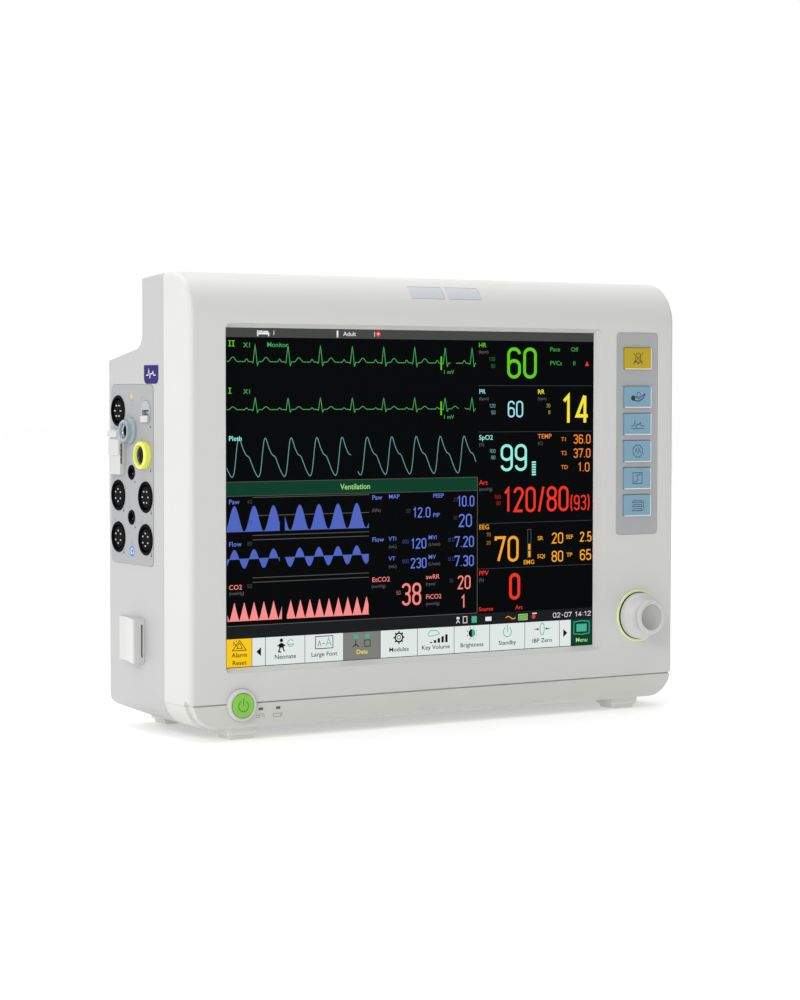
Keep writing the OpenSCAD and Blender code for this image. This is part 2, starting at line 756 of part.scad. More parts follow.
module battery_pack() {
  color([0.16, 0.17, 0.19]) place()
    box([44, bay_y0 + 2.6, bay_z0 + 2.1], [194, bay_y1 - 2.6, bay_z1 - 2.6]);
}

module battery_bay() {
  color([0.35, 0.36, 0.38]) place() difference() {
    box([bay_x0, bay_y0, bay_z0], [hw, bay_y1, bay_z1]);
    box([bay_x0 + bay_wall, bay_y0 + bay_wall, bay_z0 + bay_wall],
        [hw + 1, bay_y1 - bay_wall, bay_z1 - bay_wall]);
    bar_y(bay_y0 + 0.6, bay_y1 - 0.6, bay_pin_x, bay_pin_z, pin_r + 0.05);
  }
}

// Door on a knuckle at its lower edge, with a stub pin at each end
module hinged_door(y0, y1, z1, x1, px, pz, pin_out) {
  bar_y(y0, y1, px, pz, knuckle_r);
  box([x1 - 2.4, y0, pz], [x1, y1, z1]);
  bar_y(y0 - pin_out, y1 + pin_out, px, pz, pin_r);
}

module battery_door() {
  color([0.80, 0.80, 0.79]) place() difference() {
    hinged_door(bay_y0 + bay_wall + 0.5, bay_y1 - bay_wall - 0.5, bay_z1 - bay_wall - 0.5, hw,
                bay_pin_x, bay_pin_z, 1.6);
    bar_y(78, 94, hw + 5, bay_z1 - 9, 6);
  }
}

// ---- recorder ------------------------------------------------------------------------

module recorder_frame() {
  color([0.72, 0.72, 0.71]) place() difference() {
    union() {
      difference() {
        box([rec_x0, rec_y0, rec_z0], [hw, rec_y1, rec_z1]);
        box([rec_x0 + rec_wall, rec_y0 + rec_wall, rec_z0 + rec_wall],
            [hw + 1, rec_y1 - rec_wall, rec_z1 - rec_wall]);
      }
      box([182, rec_y0 + 1, rec_door_top + 1.2], [hw, rec_y1 - 1, rec_z1 - 1]);
      bar_y(rec_y0 + 1, 59, roll_x, roll_z, 5.92);
      bar_y(101, rec_y1 - 1, roll_x, roll_z, 5.92);
    }
    bar_y(rec_y0 + 0.6, rec_y1 - 0.6, rec_pin_x, rec_pin_z, pin_r + 0.05);
  }
}

module recorder_door() {
  y0 = rec_y0 + rec_wall + 0.5;
  y1 = rec_y1 - rec_wall - 0.5;
  color([0.82, 0.82, 0.81]) place() difference() {
    union() {
      hinged_door(y0, y1, rec_door_top, hw + door_proud, rec_pin_x, rec_pin_z, 2);
      for (y = [y0 + 0.5, y1 - 3.5]) box([189, y, 191], [hw, y + 3, 202]);
    }
    bar_y(y0 - 1, y1 + 1, platen_x, platen_z, 1.56);
    bar_y(72, 88, hw + door_proud + 5, rec_door_top - 9, 6);
  }
}

module platen_roller() {
  color([0.10, 0.10, 0.10]) place() {
    bar_y(52, 108, platen_x, platen_z, platen_r);
    bar_y(48, 112, platen_x, platen_z, 1.5);
  }
}

module paper_roll() {
  color([0.95, 0.95, 0.93]) place() difference() {
    bar_y(55, 105, roll_x, roll_z, roll_r);
    bar_y(54, 106, roll_x, roll_z, 6);
  }
}

// ---- back wall -----------------------------------------------------------------------

module mains_inlet() {
  x = inlet_at[0];
  z = inlet_at[1];
  color([0.09, 0.09, 0.10]) place() {
    difference() {
      union() {
        along_y(body_d, body_d + 2, rounded(x - 16.5, z - 12.5, x + 16.5, z + 12.5, 3));
        box([x - 13.8, body_d - 20, z - 10.2], [x + 13.8, body_d + 0.1, z + 10.2]);
      }
      along_y(body_d - 17, body_d + 3, [[x - 12, z - 8.2], [x + 12, z - 8.2], [x + 12, z + 4.5],
        [x + 8.3, z + 8.2], [x - 8.3, z + 8.2], [x - 12, z + 4.5]]);
    }
    for (p = [[-7, -2], [7, -2], [0, 2]]) box([x + p[0] - 1, body_d - 17.1, z + p[1] - 2],
                                             [x + p[0] + 1, body_d - 4, z + p[1] + 2]);
  }
}

module earth_stud() {
  x = stud_at[0];
  z = stud_at[1];
  color([0.80, 0.68, 0.35]) place() translate([x, body_d, z]) rotate([-90, 0, 0]) {
    translate([0, 0, 0.05]) cylinder(h = 2.5, r = 6, $fn = 6);
    translate([0, 0, -9]) cylinder(h = 9.1, r = 4);
    translate([0, 0, 2.5]) rotate_extrude()
      polygon([[0, 0], [stud_r, 0], [stud_r, stud_reach - 3],
               [stud_r - 0.5, stud_reach - 2.5], [0, stud_reach - 2.5]]);
  }
}

module network_socket() {
  x = net_at[0];
  z = net_at[1];
  color([0.10, 0.10, 0.11]) place() difference() {
    box([x - 7.8, body_d - 15, z - 6.8], [x + 7.8, body_d + 0.4, z + 6.8]);
    box([x - 5.9, body_d - 12, z - 4], [x + 5.9, body_d + 1, z + 4.2]);
    box([x - 3, body_d - 12, z - 5.6], [x + 3, body_d + 1, z - 3.9]);
  }
}

module usb_sockets() {
  color([0.72, 0.73, 0.75]) place() for (u = usb_at) {
    difference() {
      box([u[0] - 7, body_d - 15, u[1] - 3.4], [u[0] + 7, body_d + 0.4, u[1] + 3.4]);
      box([u[0] - 6.3, body_d - 12, u[1] - 2.6], [u[0] + 6.3, body_d + 1, u[1] + 2.6]);
    }
    box([u[0] - 5.6, body_d - 12.1, u[1] - 0.2], [u[0] + 5.6, body_d - 1.5, u[1] + 1.8]);
  }
}

front_bezel();
lower_fascia();
rear_housing();
touch_glass();
lcd_panel();
chassis_plate();
alarm_lens(-1);  // alarm_lens_left
alarm_lens(1);  // alarm_lens_right
alarm_board();
key_panel();
key_1();
key_2();
key_3();
key_4();
key_5();
key_6();
keypad_board();
knob();
knob_shaft();
knob_ring();
encoder_body();
encoder_plunger();
power_button();
power_ring();
power_switch();
status_lamps();
module_panel();
ecg_socket();
sensor_socket_1();
sensor_socket_2();
sensor_socket_3();
sensor_socket_4();
temperature_jack_1();
temperature_jack_2();
oximeter_socket();
cuff_port();
gas_port();
cell_bracket();
cable_hook();
front_feet();
rear_feet();
main_board();
parameter_board();
power_supply();
battery_pack();
battery_bay();
battery_door();
fan_frame();
fan_rotor();
speaker();
cuff_pump();
recorder_frame();
recorder_door();
platen_roller();
paper_roll();
mains_inlet();
earth_stud();
network_socket();
usb_sockets();
housing_screws();
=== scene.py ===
import json
import math

import bmesh
import bpy
from mathutils import Matrix, Vector


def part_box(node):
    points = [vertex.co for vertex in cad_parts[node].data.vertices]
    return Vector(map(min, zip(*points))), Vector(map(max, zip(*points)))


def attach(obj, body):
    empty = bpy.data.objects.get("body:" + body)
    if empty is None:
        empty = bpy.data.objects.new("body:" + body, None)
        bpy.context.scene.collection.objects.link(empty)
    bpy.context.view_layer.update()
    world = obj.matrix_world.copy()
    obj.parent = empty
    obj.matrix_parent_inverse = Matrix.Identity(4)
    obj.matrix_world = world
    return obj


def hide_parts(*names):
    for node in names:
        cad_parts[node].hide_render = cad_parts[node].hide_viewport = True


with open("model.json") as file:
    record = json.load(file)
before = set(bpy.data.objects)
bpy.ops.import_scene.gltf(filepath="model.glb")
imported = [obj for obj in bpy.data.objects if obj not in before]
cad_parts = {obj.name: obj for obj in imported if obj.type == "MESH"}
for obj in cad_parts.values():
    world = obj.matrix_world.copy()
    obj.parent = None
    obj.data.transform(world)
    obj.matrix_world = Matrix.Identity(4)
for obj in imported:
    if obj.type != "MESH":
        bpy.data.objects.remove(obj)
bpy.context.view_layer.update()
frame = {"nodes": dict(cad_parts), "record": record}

MM = 0.001
NODES = frame["nodes"]

# ---- places, all taken from the frame -------------------------------------------------

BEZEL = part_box("front_bezel")
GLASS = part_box("touch_glass")
FACE_Y = BEZEL[0].y
CASE_X = (BEZEL[0].x + BEZEL[1].x) / 2
LEFT_X = BEZEL[0].x
BACK_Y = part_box("rear_housing")[1].y
GLASS_BORDER = 3.5 * MM
SCREEN_X = GLASS[0].x + GLASS_BORDER
SCREEN_TOP = GLASS[1].z - 3.3 * MM
SCREEN_W = GLASS[1].x - GLASS[0].x - 2 * GLASS_BORDER
SCREEN_H = GLASS[1].z - GLASS[0].z - GLASS_BORDER - 3.3 * MM


def middle(node):
    lo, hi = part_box(node)
    return (lo + hi) / 2


# ---- materials ------------------------------------------------------------------------

def srgb(r, g, b):
    """Linear colour of an 8-bit display colour."""
    def one(v):
        v /= 255
        return v / 12.92 if v <= 0.04045 else ((v + 0.055) / 1.055) ** 2.4
    return one(r), one(g), one(b), 1.0


def finish(name, colour, rough=0.45, grain=0.6, depth=0.02, vary=0.03, metal=0.0, coat=0.0,
           emit=0.0, through=0.0, specular=0.5):
    """Procedural finish: a fine moulded grain (size and depth in mm), slow colour drift and
    uneven gloss. emit lights it, through lets light into it."""
    mat = bpy.data.materials.new(name)
    mat.use_nodes = True
    nodes, links = mat.node_tree.nodes, mat.node_tree.links
    shader = nodes["Principled BSDF"]
    shader.inputs["Metallic"].default_value = metal
    shader.inputs["Coat Weight"].default_value = coat
    shader.inputs["Coat Roughness"].default_value = 0.12
    shader.inputs["Specular IOR Level"].default_value = specular
    shader.inputs["Subsurface Weight"].default_value = through
    shader.inputs["Subsurface Radius"].default_value = (0.006, 0.006, 0.006)
    shader.inputs["Subsurface Scale"].default_value = 0.5
    place = nodes.new("ShaderNodeTexCoord")

    drift = nodes.new("ShaderNodeTexNoise")
    drift.inputs["Scale"].default_value = 14
    drift.inputs["Detail"].default_value = 4
    links.new(place.outputs["Object"], drift.inputs["Vector"])
    tone = nodes.new("ShaderNodeMix")
    tone.data_type = "RGBA"
    tone.inputs["A"].default_value = [c * (1 - vary) for c in colour[:3]] + [1]
    tone.inputs["B"].default_value = [min(1, c * (1 + vary)) for c in colour[:3]] + [1]
    links.new(drift.outputs["Fac"], tone.inputs["Factor"])
    links.new(tone.outputs["Result"], shader.inputs["Base Color"])

    speck = nodes.new("ShaderNodeTexNoise")
    speck.inputs["Scale"].default_value = 1 / (grain * MM)
    speck.inputs["Detail"].default_value = 3
    speck.inputs["Roughness"].default_value = 0.6
    links.new(place.outputs["Object"], speck.inputs["Vector"])
    gloss = nodes.new("ShaderNodeMapRange")
    gloss.inputs["To Min"].default_value = max(0.02, rough - 0.06)
    gloss.inputs["To Max"].default_value = min(1, rough + 0.06)
    links.new(speck.outputs["Fac"], gloss.inputs["Value"])
    links.new(gloss.outputs["Result"], shader.inputs["Roughness"])
    bump = nodes.new("ShaderNodeBump")
    bump.inputs["Strength"].default_value = 0.5
    bump.inputs["Distance"].default_value = depth * MM
    links.new(speck.outputs["Fac"], bump.inputs["Height"])
    links.new(bump.outputs["Normal"], shader.inputs["Normal"])
    if emit:
        links.new(tone.outputs["Result"], shader.inputs["Emission Color"])
        shader.inputs["Emission Strength"].default_value = emit
    return mat


def lit(name, r, g, b, power=1.0):
    """Ink of the lit picture: it glows in its own colour and reflects next to nothing."""
    mat = finish(name, srgb(r, g, b), rough=0.5, grain=0.3, depth=0.001, vary=0.04,
                 emit=power, specular=0.0)
    shader = mat.node_tree.nodes["Principled BSDF"]
    for link in list(shader.inputs["Base Color"].links):
        mat.node_tree.links.remove(link)
    shader.inputs["Base Color"].default_value = (0.002, 0.002, 0.002, 1)
    return mat


MATS = {
    "case_front": finish("bezel_plastic", srgb(208, 208, 206), 0.42, 0.5, 0.012, 0.012),
    "case_strip": finish("strip_plastic", srgb(206, 206, 200), 0.42, 0.5, 0.012, 0.012),
    "case_rear": finish("housing_plastic", srgb(183, 183, 183), 0.48, 0.5, 0.02, 0.015),
    "screen_glass": finish("glass_black", srgb(6, 6, 7), 0.3, 2.0, 0.002, 0.2, specular=0.15),
    "lcd_metal": finish("panel_metal", srgb(170, 173, 178), 0.35, 0.4, 0.01, 0.05, metal=1),
    "sheet_metal": finish("plated_sheet", srgb(190, 192, 196), 0.3, 0.3, 0.01, 0.06, metal=1),
    "alarm_lens": finish("alarm_lens", srgb(196, 201, 206), 0.22, 1.2, 0.02, 0.04,
                         through=0.35, coat=0.3),
    "key_membrane": finish("key_film", srgb(168, 169, 170), 0.38, 0.35, 0.015, 0.02),
    "key_yellow": finish("key_yellow", srgb(186, 162, 22), 0.4, 0.5, 0.012, 0.04),
    "key_blue": finish("key_blue", srgb(124, 162, 184), 0.4, 0.5, 0.012, 0.03),
    "knob_white": finish("knob_plastic", srgb(202, 202, 200), 0.38, 0.8, 0.006, 0.01),
    "knob_inlay": finish("knob_inlay", srgb(174, 174, 172), 0.5, 0.5, 0.012, 0.02),
    "steel": finish("steel", srgb(165, 166, 170), 0.28, 0.2, 0.006, 0.08, metal=1),
    "ring_green": finish("light_ring", srgb(216, 230, 176), 0.28, 0.9, 0.01, 0.03,
                         through=0.2, emit=0.06),
    "black_plastic": finish("black_plastic", srgb(32, 32, 34), 0.45, 0.4, 0.02, 0.1),
    "white_plastic": finish("white_plastic", srgb(198, 198, 197), 0.3, 0.7, 0.008, 0.015, coat=0.1),
    "button_green": finish("button_green", srgb(128, 196, 62), 0.32, 0.7, 0.01, 0.03,
                           through=0.2, emit=0.05),
    "lamp_window": finish("lamp_window", srgb(62, 72, 66), 0.2, 0.6, 0.01, 0.15, coat=0.4),
    "panel_grey": finish("sensor_panel", srgb(158, 159, 160), 0.36, 0.45, 0.014, 0.012),
    "socket_black": finish("socket_black", srgb(8, 8, 11), 0.5, 0.5, 0.01, 0.15, specular=0.03),
    "socket_grey": finish("socket_grey", srgb(168, 172, 174), 0.34, 0.5, 0.01, 0.03),
    "port_grey": finish("port_grey", srgb(140, 154, 163), 0.26, 0.8, 0.008, 0.04, coat=0.25),
    "port_yellow": finish("port_yellow", srgb(222, 230, 96), 0.34, 0.9, 0.01, 0.03,
                          through=0.1),
    "foot_grey": finish("foot_rubber", srgb(222, 222, 216), 0.6, 0.5, 0.03, 0.03),
    "bay_grey": finish("bay_plastic", srgb(168, 168, 166), 0.5, 0.5, 0.02, 0.03),
    "pump_grey": finish("pump_coat", srgb(90, 92, 98), 0.4, 0.4, 0.02, 0.06),
    "rubber_black": finish("roller_rubber", srgb(30, 30, 30), 0.7, 0.25, 0.03, 0.1),
    "paper": finish("thermal_paper", srgb(240, 240, 235), 0.55, 0.2, 0.01, 0.02),
    "brass": finish("plated_brass", srgb(212, 186, 118), 0.22, 0.2, 0.004, 0.06, metal=1),
    "board": finish("solder_mask", srgb(34, 92, 58), 0.3, 1.5, 0.02, 0.25, coat=0.3),
}
PRINT_DARK = finish("print_dark", srgb(40, 42, 44), 0.5, 0.3, 0.004, 0.08)
PRINT_GREY = finish("print_grey", srgb(128, 130, 132), 0.5, 0.3, 0.004, 0.06)
PRINT_BLUE = finish("print_blue", srgb(52, 120, 205), 0.45, 0.3, 0.004, 0.06)
# white print; the same white also paints the highlight rims along the keys' edges
PRINT_AND_PAINTED_HIGHLIGHT_WHITE = finish("print_and_painted_highlight_white", srgb(240, 241, 243), 0.45, 0.3, 0.004, 0.03)
PRINT_YELLOW = finish("print_yellow", srgb(212, 198, 48), 0.45, 0.3, 0.004, 0.05)
TAG_VIOLET = finish("tag_violet", srgb(40, 28, 104), 0.4, 0.4, 0.006, 0.06, specular=0.1)
PORT_DARK = finish("port_dark", srgb(58, 64, 72), 0.35, 0.6, 0.008, 0.08)
PIN_METAL = finish("pin_metal", srgb(206, 205, 200), 0.22, 0.2, 0.003, 0.06, metal=1)


def soften(node, width, angle=38):
    """Gives a CAD node's edges a small moulded radius and its round faces smooth shading."""
    obj = NODES[node]
    mesh = obj.data
    if "custom_normal" in mesh.attributes:
        mesh.attributes.remove(mesh.attributes["custom_normal"])
    mesh.shade_smooth()
    weld = obj.modifiers.new("join", "WELD")
    weld.merge_threshold = 0.002 * MM
    if width:
        bevel = obj.modifiers.new("edge", "BEVEL")
        bevel.width = width * MM
        bevel.segments = 2
        bevel.limit_method = "ANGLE"
        bevel.angle_limit = math.radians(angle)
        bevel.use_clamp_overlap = True
        bevel.miter_outer = "MITER_ARC"
    even = obj.modifiers.new("shade", "WEIGHTED_NORMAL")
    even.keep_sharp = False
    even.weight = 80


def paint_cad():
    for entry in frame["record"]["subparts"]:
        obj = NODES[entry["node"]]
        mat = MATS[entry["material_slot"]]
        if not obj.material_slots:
            obj.data.materials.append(mat)
        for place in obj.material_slots:
            place.material = mat
    for node, width in {
        "front_bezel": 0.45, "lower_fascia": 0.45, "rear_housing": 0.5, "module_panel": 0.25,
        "cable_hook": 0.5, "cell_bracket": 0.4, "front_feet": 0.8, "rear_feet": 0.8,
        "recorder_frame": 0.35, "recorder_door": 0.4, "battery_bay": 0.35, "battery_door": 0.4,
        "key_panel": 0.12, "mains_inlet": 0.3, "oximeter_socket": 0.3, "network_socket": 0.2,
        "alarm_lens_left": 0.25, "alarm_lens_right": 0.25, "status_lamps": 0.1,
        "earth_stud": 0.15, "housing_screws": 0.15, "paper_roll": 0.3, "platen_roller": 0.3,
    }.items():
        soften(node, width)
    for i in range(1, 7):
        soften(f"key_{i}", 0.35)


# ---- mesh helpers ---------------------------------------------------------------------

def add_piece(name, verts, faces, mat, body, smooth=None):
    mesh = bpy.data.meshes.new(name)
    mesh.from_pydata([tuple(v) for v in verts], [], faces)
    mesh.materials.append(mat)
    bm = bmesh.new()
    bm.from_mesh(mesh)
    bmesh.ops.remove_doubles(bm, verts=bm.verts, dist=1e-7)
    bmesh.ops.recalc_face_normals(bm, faces=bm.faces)
    if smooth is not None:
        for face in bm.faces:
            face.smooth = True
        for edge in bm.edges:
            if len(edge.link_faces) == 2:
                edge.smooth = edge.calc_face_angle(0) < math.radians(smooth)
    bm.to_mesh(mesh)
    bm.free()
    obj = bpy.data.objects.new(name, mesh)
    bpy.context.scene.collection.objects.link(obj)
    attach(obj, body)
    return obj


def lathe(name, centre, axis, profile, mat, body, steps=96, smooth=32):
    """Turned piece: profile holds (radius, distance along axis) in mm, from one end of the
    axis or from a closed ring round it."""
    axis = Vector(axis).normalized()
    side = axis.orthogonal().normalized()
    across = axis.cross(side)
    closed = profile[0] == profile[-1]
    pts = profile[:-1] if closed else profile
    verts, faces = [], []
    for i in range(steps):
        a = 2 * math.pi * i / steps
        out = side * math.cos(a) + across * math.sin(a)
        verts += [centre + out * r * MM + axis * d * MM for r, d in pts]
    n = len(pts)
    for i in range(steps):
        j = (i + 1) % steps
        for k in range(n if closed else n - 1):
            m = (k + 1) % n
            faces.append((i * n + k, i * n + m, j * n + m, j * n + k))
    return add_piece(name, verts, faces, mat, body, smooth)


def bend(c, r, a0, a1, n=8):
    """Points of an arc in a profile or a drawing."""
    return [(c[0] + r * math.cos(math.radians(a0 + (a1 - a0) * i / n)),
             c[1] + r * math.sin(math.radians(a0 + (a1 - a0) * i / n))) for i in range(n + 1)]


def stroke(points, width, closed=False):
    """Outline of a pen line of even width, as quads of 2D points."""
    pts = [Vector(p) for p in points]
    pts = [p for i, p in enumerate(pts) if i == 0 or (p - pts[i - 1]).length > 1e-6]
    if closed and (pts[0] - pts[-1]).length < 1e-6:
        pts.pop()
    n = len(pts)
    left, right = [], []
    for i, p in enumerate(pts):
        before = pts[i - 1] if i > 0 or closed else None
        after = pts[(i + 1) % n] if i < n - 1 or closed else None
        d0 = (p - before).normalized() if before is not None else (after - p).normalized()
        d1 = (after - p).normalized() if after is not None else d0
        mean = d0 + d1
        mean = mean.normalized() if mean.length > 1e-6 else d0
        normal = Vector((-mean.y, mean.x))
        reach = width / 2 / max(0.45, normal.dot(Vector((-d0.y, d0.x))))
        left.append(p + normal * reach)
        right.append(p - normal * reach)
    quads = []
    for i in range(n if closed else n - 1):
        j = (i + 1) % n
        quads.append([left[i], left[j], right[j], right[i]])
    return quads


class Ink:
    """Thin raised print: flat shapes in a plane's own mm, given a little thickness."""

    def __init__(self, origin, right, down):
        self.origin, self.right, self.down = Vector(origin), Vector(right), Vector(down)
        self.out = self.down.cross(self.right).normalized()
        self.shapes = []

    def poly(self, points):
        self.shapes.append([Vector(p) for p in points])
        return self

    def rect(self, x0, y0, x1, y1):
        return self.poly([(x0, y0), (x1, y0), (x1, y1), (x0, y1)])

    def disc(self, x, y, r, n=28):
        return self.poly(bend((x, y), r, 0, 360 - 360 / n, n - 1))

    def line(self, points, width, closed=False):
        self.shapes += stroke(points, width, closed)
        return self

    def ring(self, x, y, r, width, a0=0, a1=360):
        closed = abs(a1 - a0) >= 360
        return self.line(bend((x, y), r, a0, a1, 36), width, closed)

    def make(self, name, mat, body, slot, lift=0.0, thick=0.02):
        """Raises the shapes; touching shapes share corners and get no wall between them."""
        verts, faces, spots, used = [], [], {}, {}

        def corner(p, level):
            key = (round(p.x, 4), round(p.y, 4), level)
            if key not in spots:
                spots[key] = len(verts)
                verts.append(self.origin + self.right * p.x * MM + self.down * p.y * MM
                             + self.out * level * MM)
            return spots[key]
        for shape in self.shapes:
            low = [corner(p, lift) for p in shape]
            high = [corner(p, lift + thick) for p in shape]
            keep = [k for k in range(len(low)) if low[k] != low[k - 1]]
            if len(keep) < 3:
                continue
            low = [low[k] for k in keep]
            high = [high[k] for k in keep]
            faces.append(tuple(high))
            faces.append(tuple(reversed(low)))
            for k in range(len(low)):
                wall = (low[k - 1], low[k], high[k], high[k - 1])
                used.setdefault(frozenset(wall[:2]), []).append(wall)
        faces += [walls[0] for walls in used.values() if len(walls) == 1]
        return add_piece(name, verts, faces, mat, body)


# ---- numerals drawn as pen strokes ----------------------------------------------------

BOW = 0.2


def numeral(ch):
    """Pen strokes of one sign in a unit square, y up."""
    top, low = (0.5, 1 - BOW), (0.5, BOW)

    def bow(c, a0, a1):
        return [(c[0] + 0.5 * math.cos(math.radians(a)), c[1] + BOW * math.sin(math.radians(a)))
                for a in [a0 + (a1 - a0) * i / 10 for i in range(11)]]
    waist = 0.53
    if ch == "0":
        return [bow(top, 180, 0) + bow(low, 0, -180) + [(0, 1 - BOW)]]
    if ch == "1":
        return [[(0.1, 0.8), (0.62, 1), (0.62, 0)]]
    if ch == "2":
        return [bow(top, 180, -25) + [(0.02, 0.02), (1, 0.01)]]
    if ch == "3":
        return [bow(top, 170, 0) + bow((0.5, waist + BOW), 0, -90) + [(0.38, waist)],
                bow((0.5, waist - BOW), 90, 0) + bow(low, 0, -170)]
    if ch == "4":
        return [[(0.7, 1), (0.02, 0.25), (1, 0.25)], [(0.74, 1), (0.74, 0)]]
    if ch == "5":
        return [[(0.95, 1), (0.12, 1), (0.06, 0.52)] + bow((0.5, 0.6 - BOW), 130, 0)
                + bow(low, 0, -170)]
    if ch == "6":
        return [bow(top, 5, 180) + bow(low, 180, 360) + bow((0.5, 0.58 - BOW), 0, 180)]
    if ch == "7":
        return [[(0, 0.88), (0, 1), (1, 1), (0.3, 0)]]
    if ch == "8":
        return [bow(top, 180, 0) + bow((0.5, waist + BOW), 0, -180) + [(0, 1 - BOW)],
                bow((0.5, waist - BOW), 180, 0) + bow(low, 0, -180) + [(0, waist - BOW)]]
    if ch == "9":
        return [[(1 - x, 1 - y) for x, y in part] for part in numeral("6")]
    if ch == "/":
        return [[(0.1, -0.04), (0.9, 1.04)]]
    if ch == "(":
        return [[(0.9, 1.08), (0.45, 0.8), (0.35, 0.5), (0.45, 0.2), (0.9, -0.08)]]
    if ch == ")":
        return [[(0.1, 1.08), (0.55, 0.8), (0.65, 0.5), (0.55, 0.2), (0.1, -0.08)]]
    if ch == "-":
        return [[(0.15, 0.45), (0.85, 0.45)]]
    if ch == ".":
        return [[(0.5, -0.01), (0.5, 0.07)]]
    if ch == ":":
        return [[(0.5, 0.18), (0.5, 0.26)], [(0.5, 0.66), (0.5, 0.74)]]
    return []


NARROW = {".": 0.3, ":": 0.4, "1": 0.82, "/": 0.75, "(": 0.55, ")": 0.55, " ": 0.6, "-": 0.8}


def number(ink, text, x, y, w, h, pen=0.14):
    """Writes text into the box that starts at (x, y), w wide and h high, y down."""
    units = [NARROW.get(c, 1.0) for c in text]
    gap = 0.17
    unit = w / (sum(units) + gap * (len(text) - 1))
    width = 0.84 * pen * h
    at = x
    for c, share in zip(text, units):
        cell = unit * share
        for part in numeral(c):
            inset_x, inset_y = min(width / 2, cell / 2), width / 2
            ink.line([(at + inset_x + px * (cell - 2 * inset_x), y + h - inset_y - py * (h - 2 * inset_y))
                      for px, py in part], width)
        at += cell + gap * unit


# wording collected ink by ink, until lay_words makes one piece of each
SHEETS = {}


def words(text, x, y, height, tint, plane, stretch=1.1, align="LEFT", bold=0.03):
    """Adds small generic wording, set from the built-in face, to the sheet of its ink."""
    curve = bpy.data.curves.new("wording", "FONT")
    curve.body = text
    curve.size = height * 1.38 * MM
    curve.align_x = align
    curve.offset = bold * MM
    curve.extrude = 0.01 * MM
    curve.resolution_u = 3
    holder = bpy.data.objects.new("wording", curve)
    bpy.context.scene.collection.objects.link(holder)
    bpy.context.view_layer.update()
    mesh = bpy.data.meshes.new_from_object(holder)
    bpy.data.objects.remove(holder)
    bpy.data.curves.remove(curve)
    start = plane.origin + plane.right * x * MM + plane.down * (y + height) * MM
    start += plane.out * (WORD_LEVEL + 0.01) * MM
    turn = Matrix((plane.right * stretch, -plane.down, plane.out)).transposed().to_4x4()
    mesh.transform(Matrix.Translation(start) @ turn)
    verts, faces = SHEETS.setdefault(tint, ([], []))
    base = len(verts)
    verts += [v.co.copy() for v in mesh.vertices]
    faces += [tuple(base + k for k in f.vertices) for f in mesh.polygons]
    bpy.data.meshes.remove(mesh)


def lay_words():
    for tint, (verts, faces) in SHEETS.items():
        add_piece(f"words_{tint}", verts, faces, LIT[tint], "case")


# ---- the lit picture ------------------------------------------------------------------

LIFT = 0.02          # lowest level of the picture above the glass, mm
LEVEL = 0.022        # step between levels
WORD_LEVEL = LIFT + LEVEL * 4


def screen_ink():
    return Ink((SCREEN_X, GLASS[0].y, SCREEN_TOP), (1, 0, 0), (0, 0, -1))


def show(ink, name, mat, level):
    return ink.make(name, mat, "case", "screen_glass", LIFT + LEVEL * level)


LIT = {
    "black": lit("lit_black", 4, 5, 6),
    "bar": lit("lit_bar", 70, 72, 70),
    "strip": lit("lit_strip", 27, 29, 31),
    "line": lit("lit_line", 88, 86, 82),
    "green": lit("lit_green", 70, 165, 88),
    "bright_green": lit("lit_bright_green", 96, 205, 20),
    "label_green": lit("lit_label_green", 52, 160, 66),
    "teal": lit("lit_teal", 104, 158, 158),
    "cyan": lit("lit_cyan", 150, 242, 224),
    "aqua": lit("lit_aqua", 150, 226, 236),
    "yellow": lit("lit_yellow", 246, 232, 52),
    "orange": lit("lit_orange", 240, 132, 46),
    "amber": lit("lit_amber", 250, 168, 34),
    "red": lit("lit_red", 242, 54, 34),
    "blue": lit("lit_blue", 80, 102, 190),
    "blue_digit": lit("lit_blue_digit", 98, 122, 222),
    "pink": lit("lit_pink", 252, 142, 140),
    "pink_digit": lit("lit_pink_digit", 250, 134, 126),
    "title": lit("lit_title", 12, 62, 42),
    "title_text": lit("lit_title_text", 170, 226, 130),
    "key": lit("lit_key", 222, 231, 228),
    "key_grey": lit("lit_key_grey", 126, 126, 122),
    "key_yellow": lit("lit_key_yellow", 250, 200, 28),
    "key_dark": lit("lit_key_dark", 14, 60, 44),
    "icon": lit("lit_icon", 12, 16, 18),
    "icon_teal": lit("lit_icon_teal", 70, 176, 146),
    "white": lit("lit_white", 228, 230, 232),
    "dim": lit("lit_dim", 92, 96, 98),
}


def hump(x, mid, half):
    """Raised-cosine bump about mid."""
    t = abs(x - mid) / half
    return 0.5 + 0.5 * math.cos(math.pi * t) if t < 1 else 0.0


def spike(x, mid, half):
    t = abs(x - mid) / half
    return 1 - t if t < 1 else 0.0


def ecg_height(x, beats, r, t, p):
    y = 0.0
    for b in beats:
        y += r * spike(x, b, 1.5) - 0.25 * r * spike(x, b + 1.8, 0.8) - 0.07 * r * spike(x, b - 1.8, 0.8)
        y += t * hump(x, b + 8.4, 3.6) + p * hump(x, b - 6.6, 1.7)
    return y


def sweep(ink, x0, x1, step, f, base, width):
    n = int((x1 - x0) / step)
    ink.line([(x0 + i * step, base - f(x0 + i * step)) for i in range(n + 1)], width)


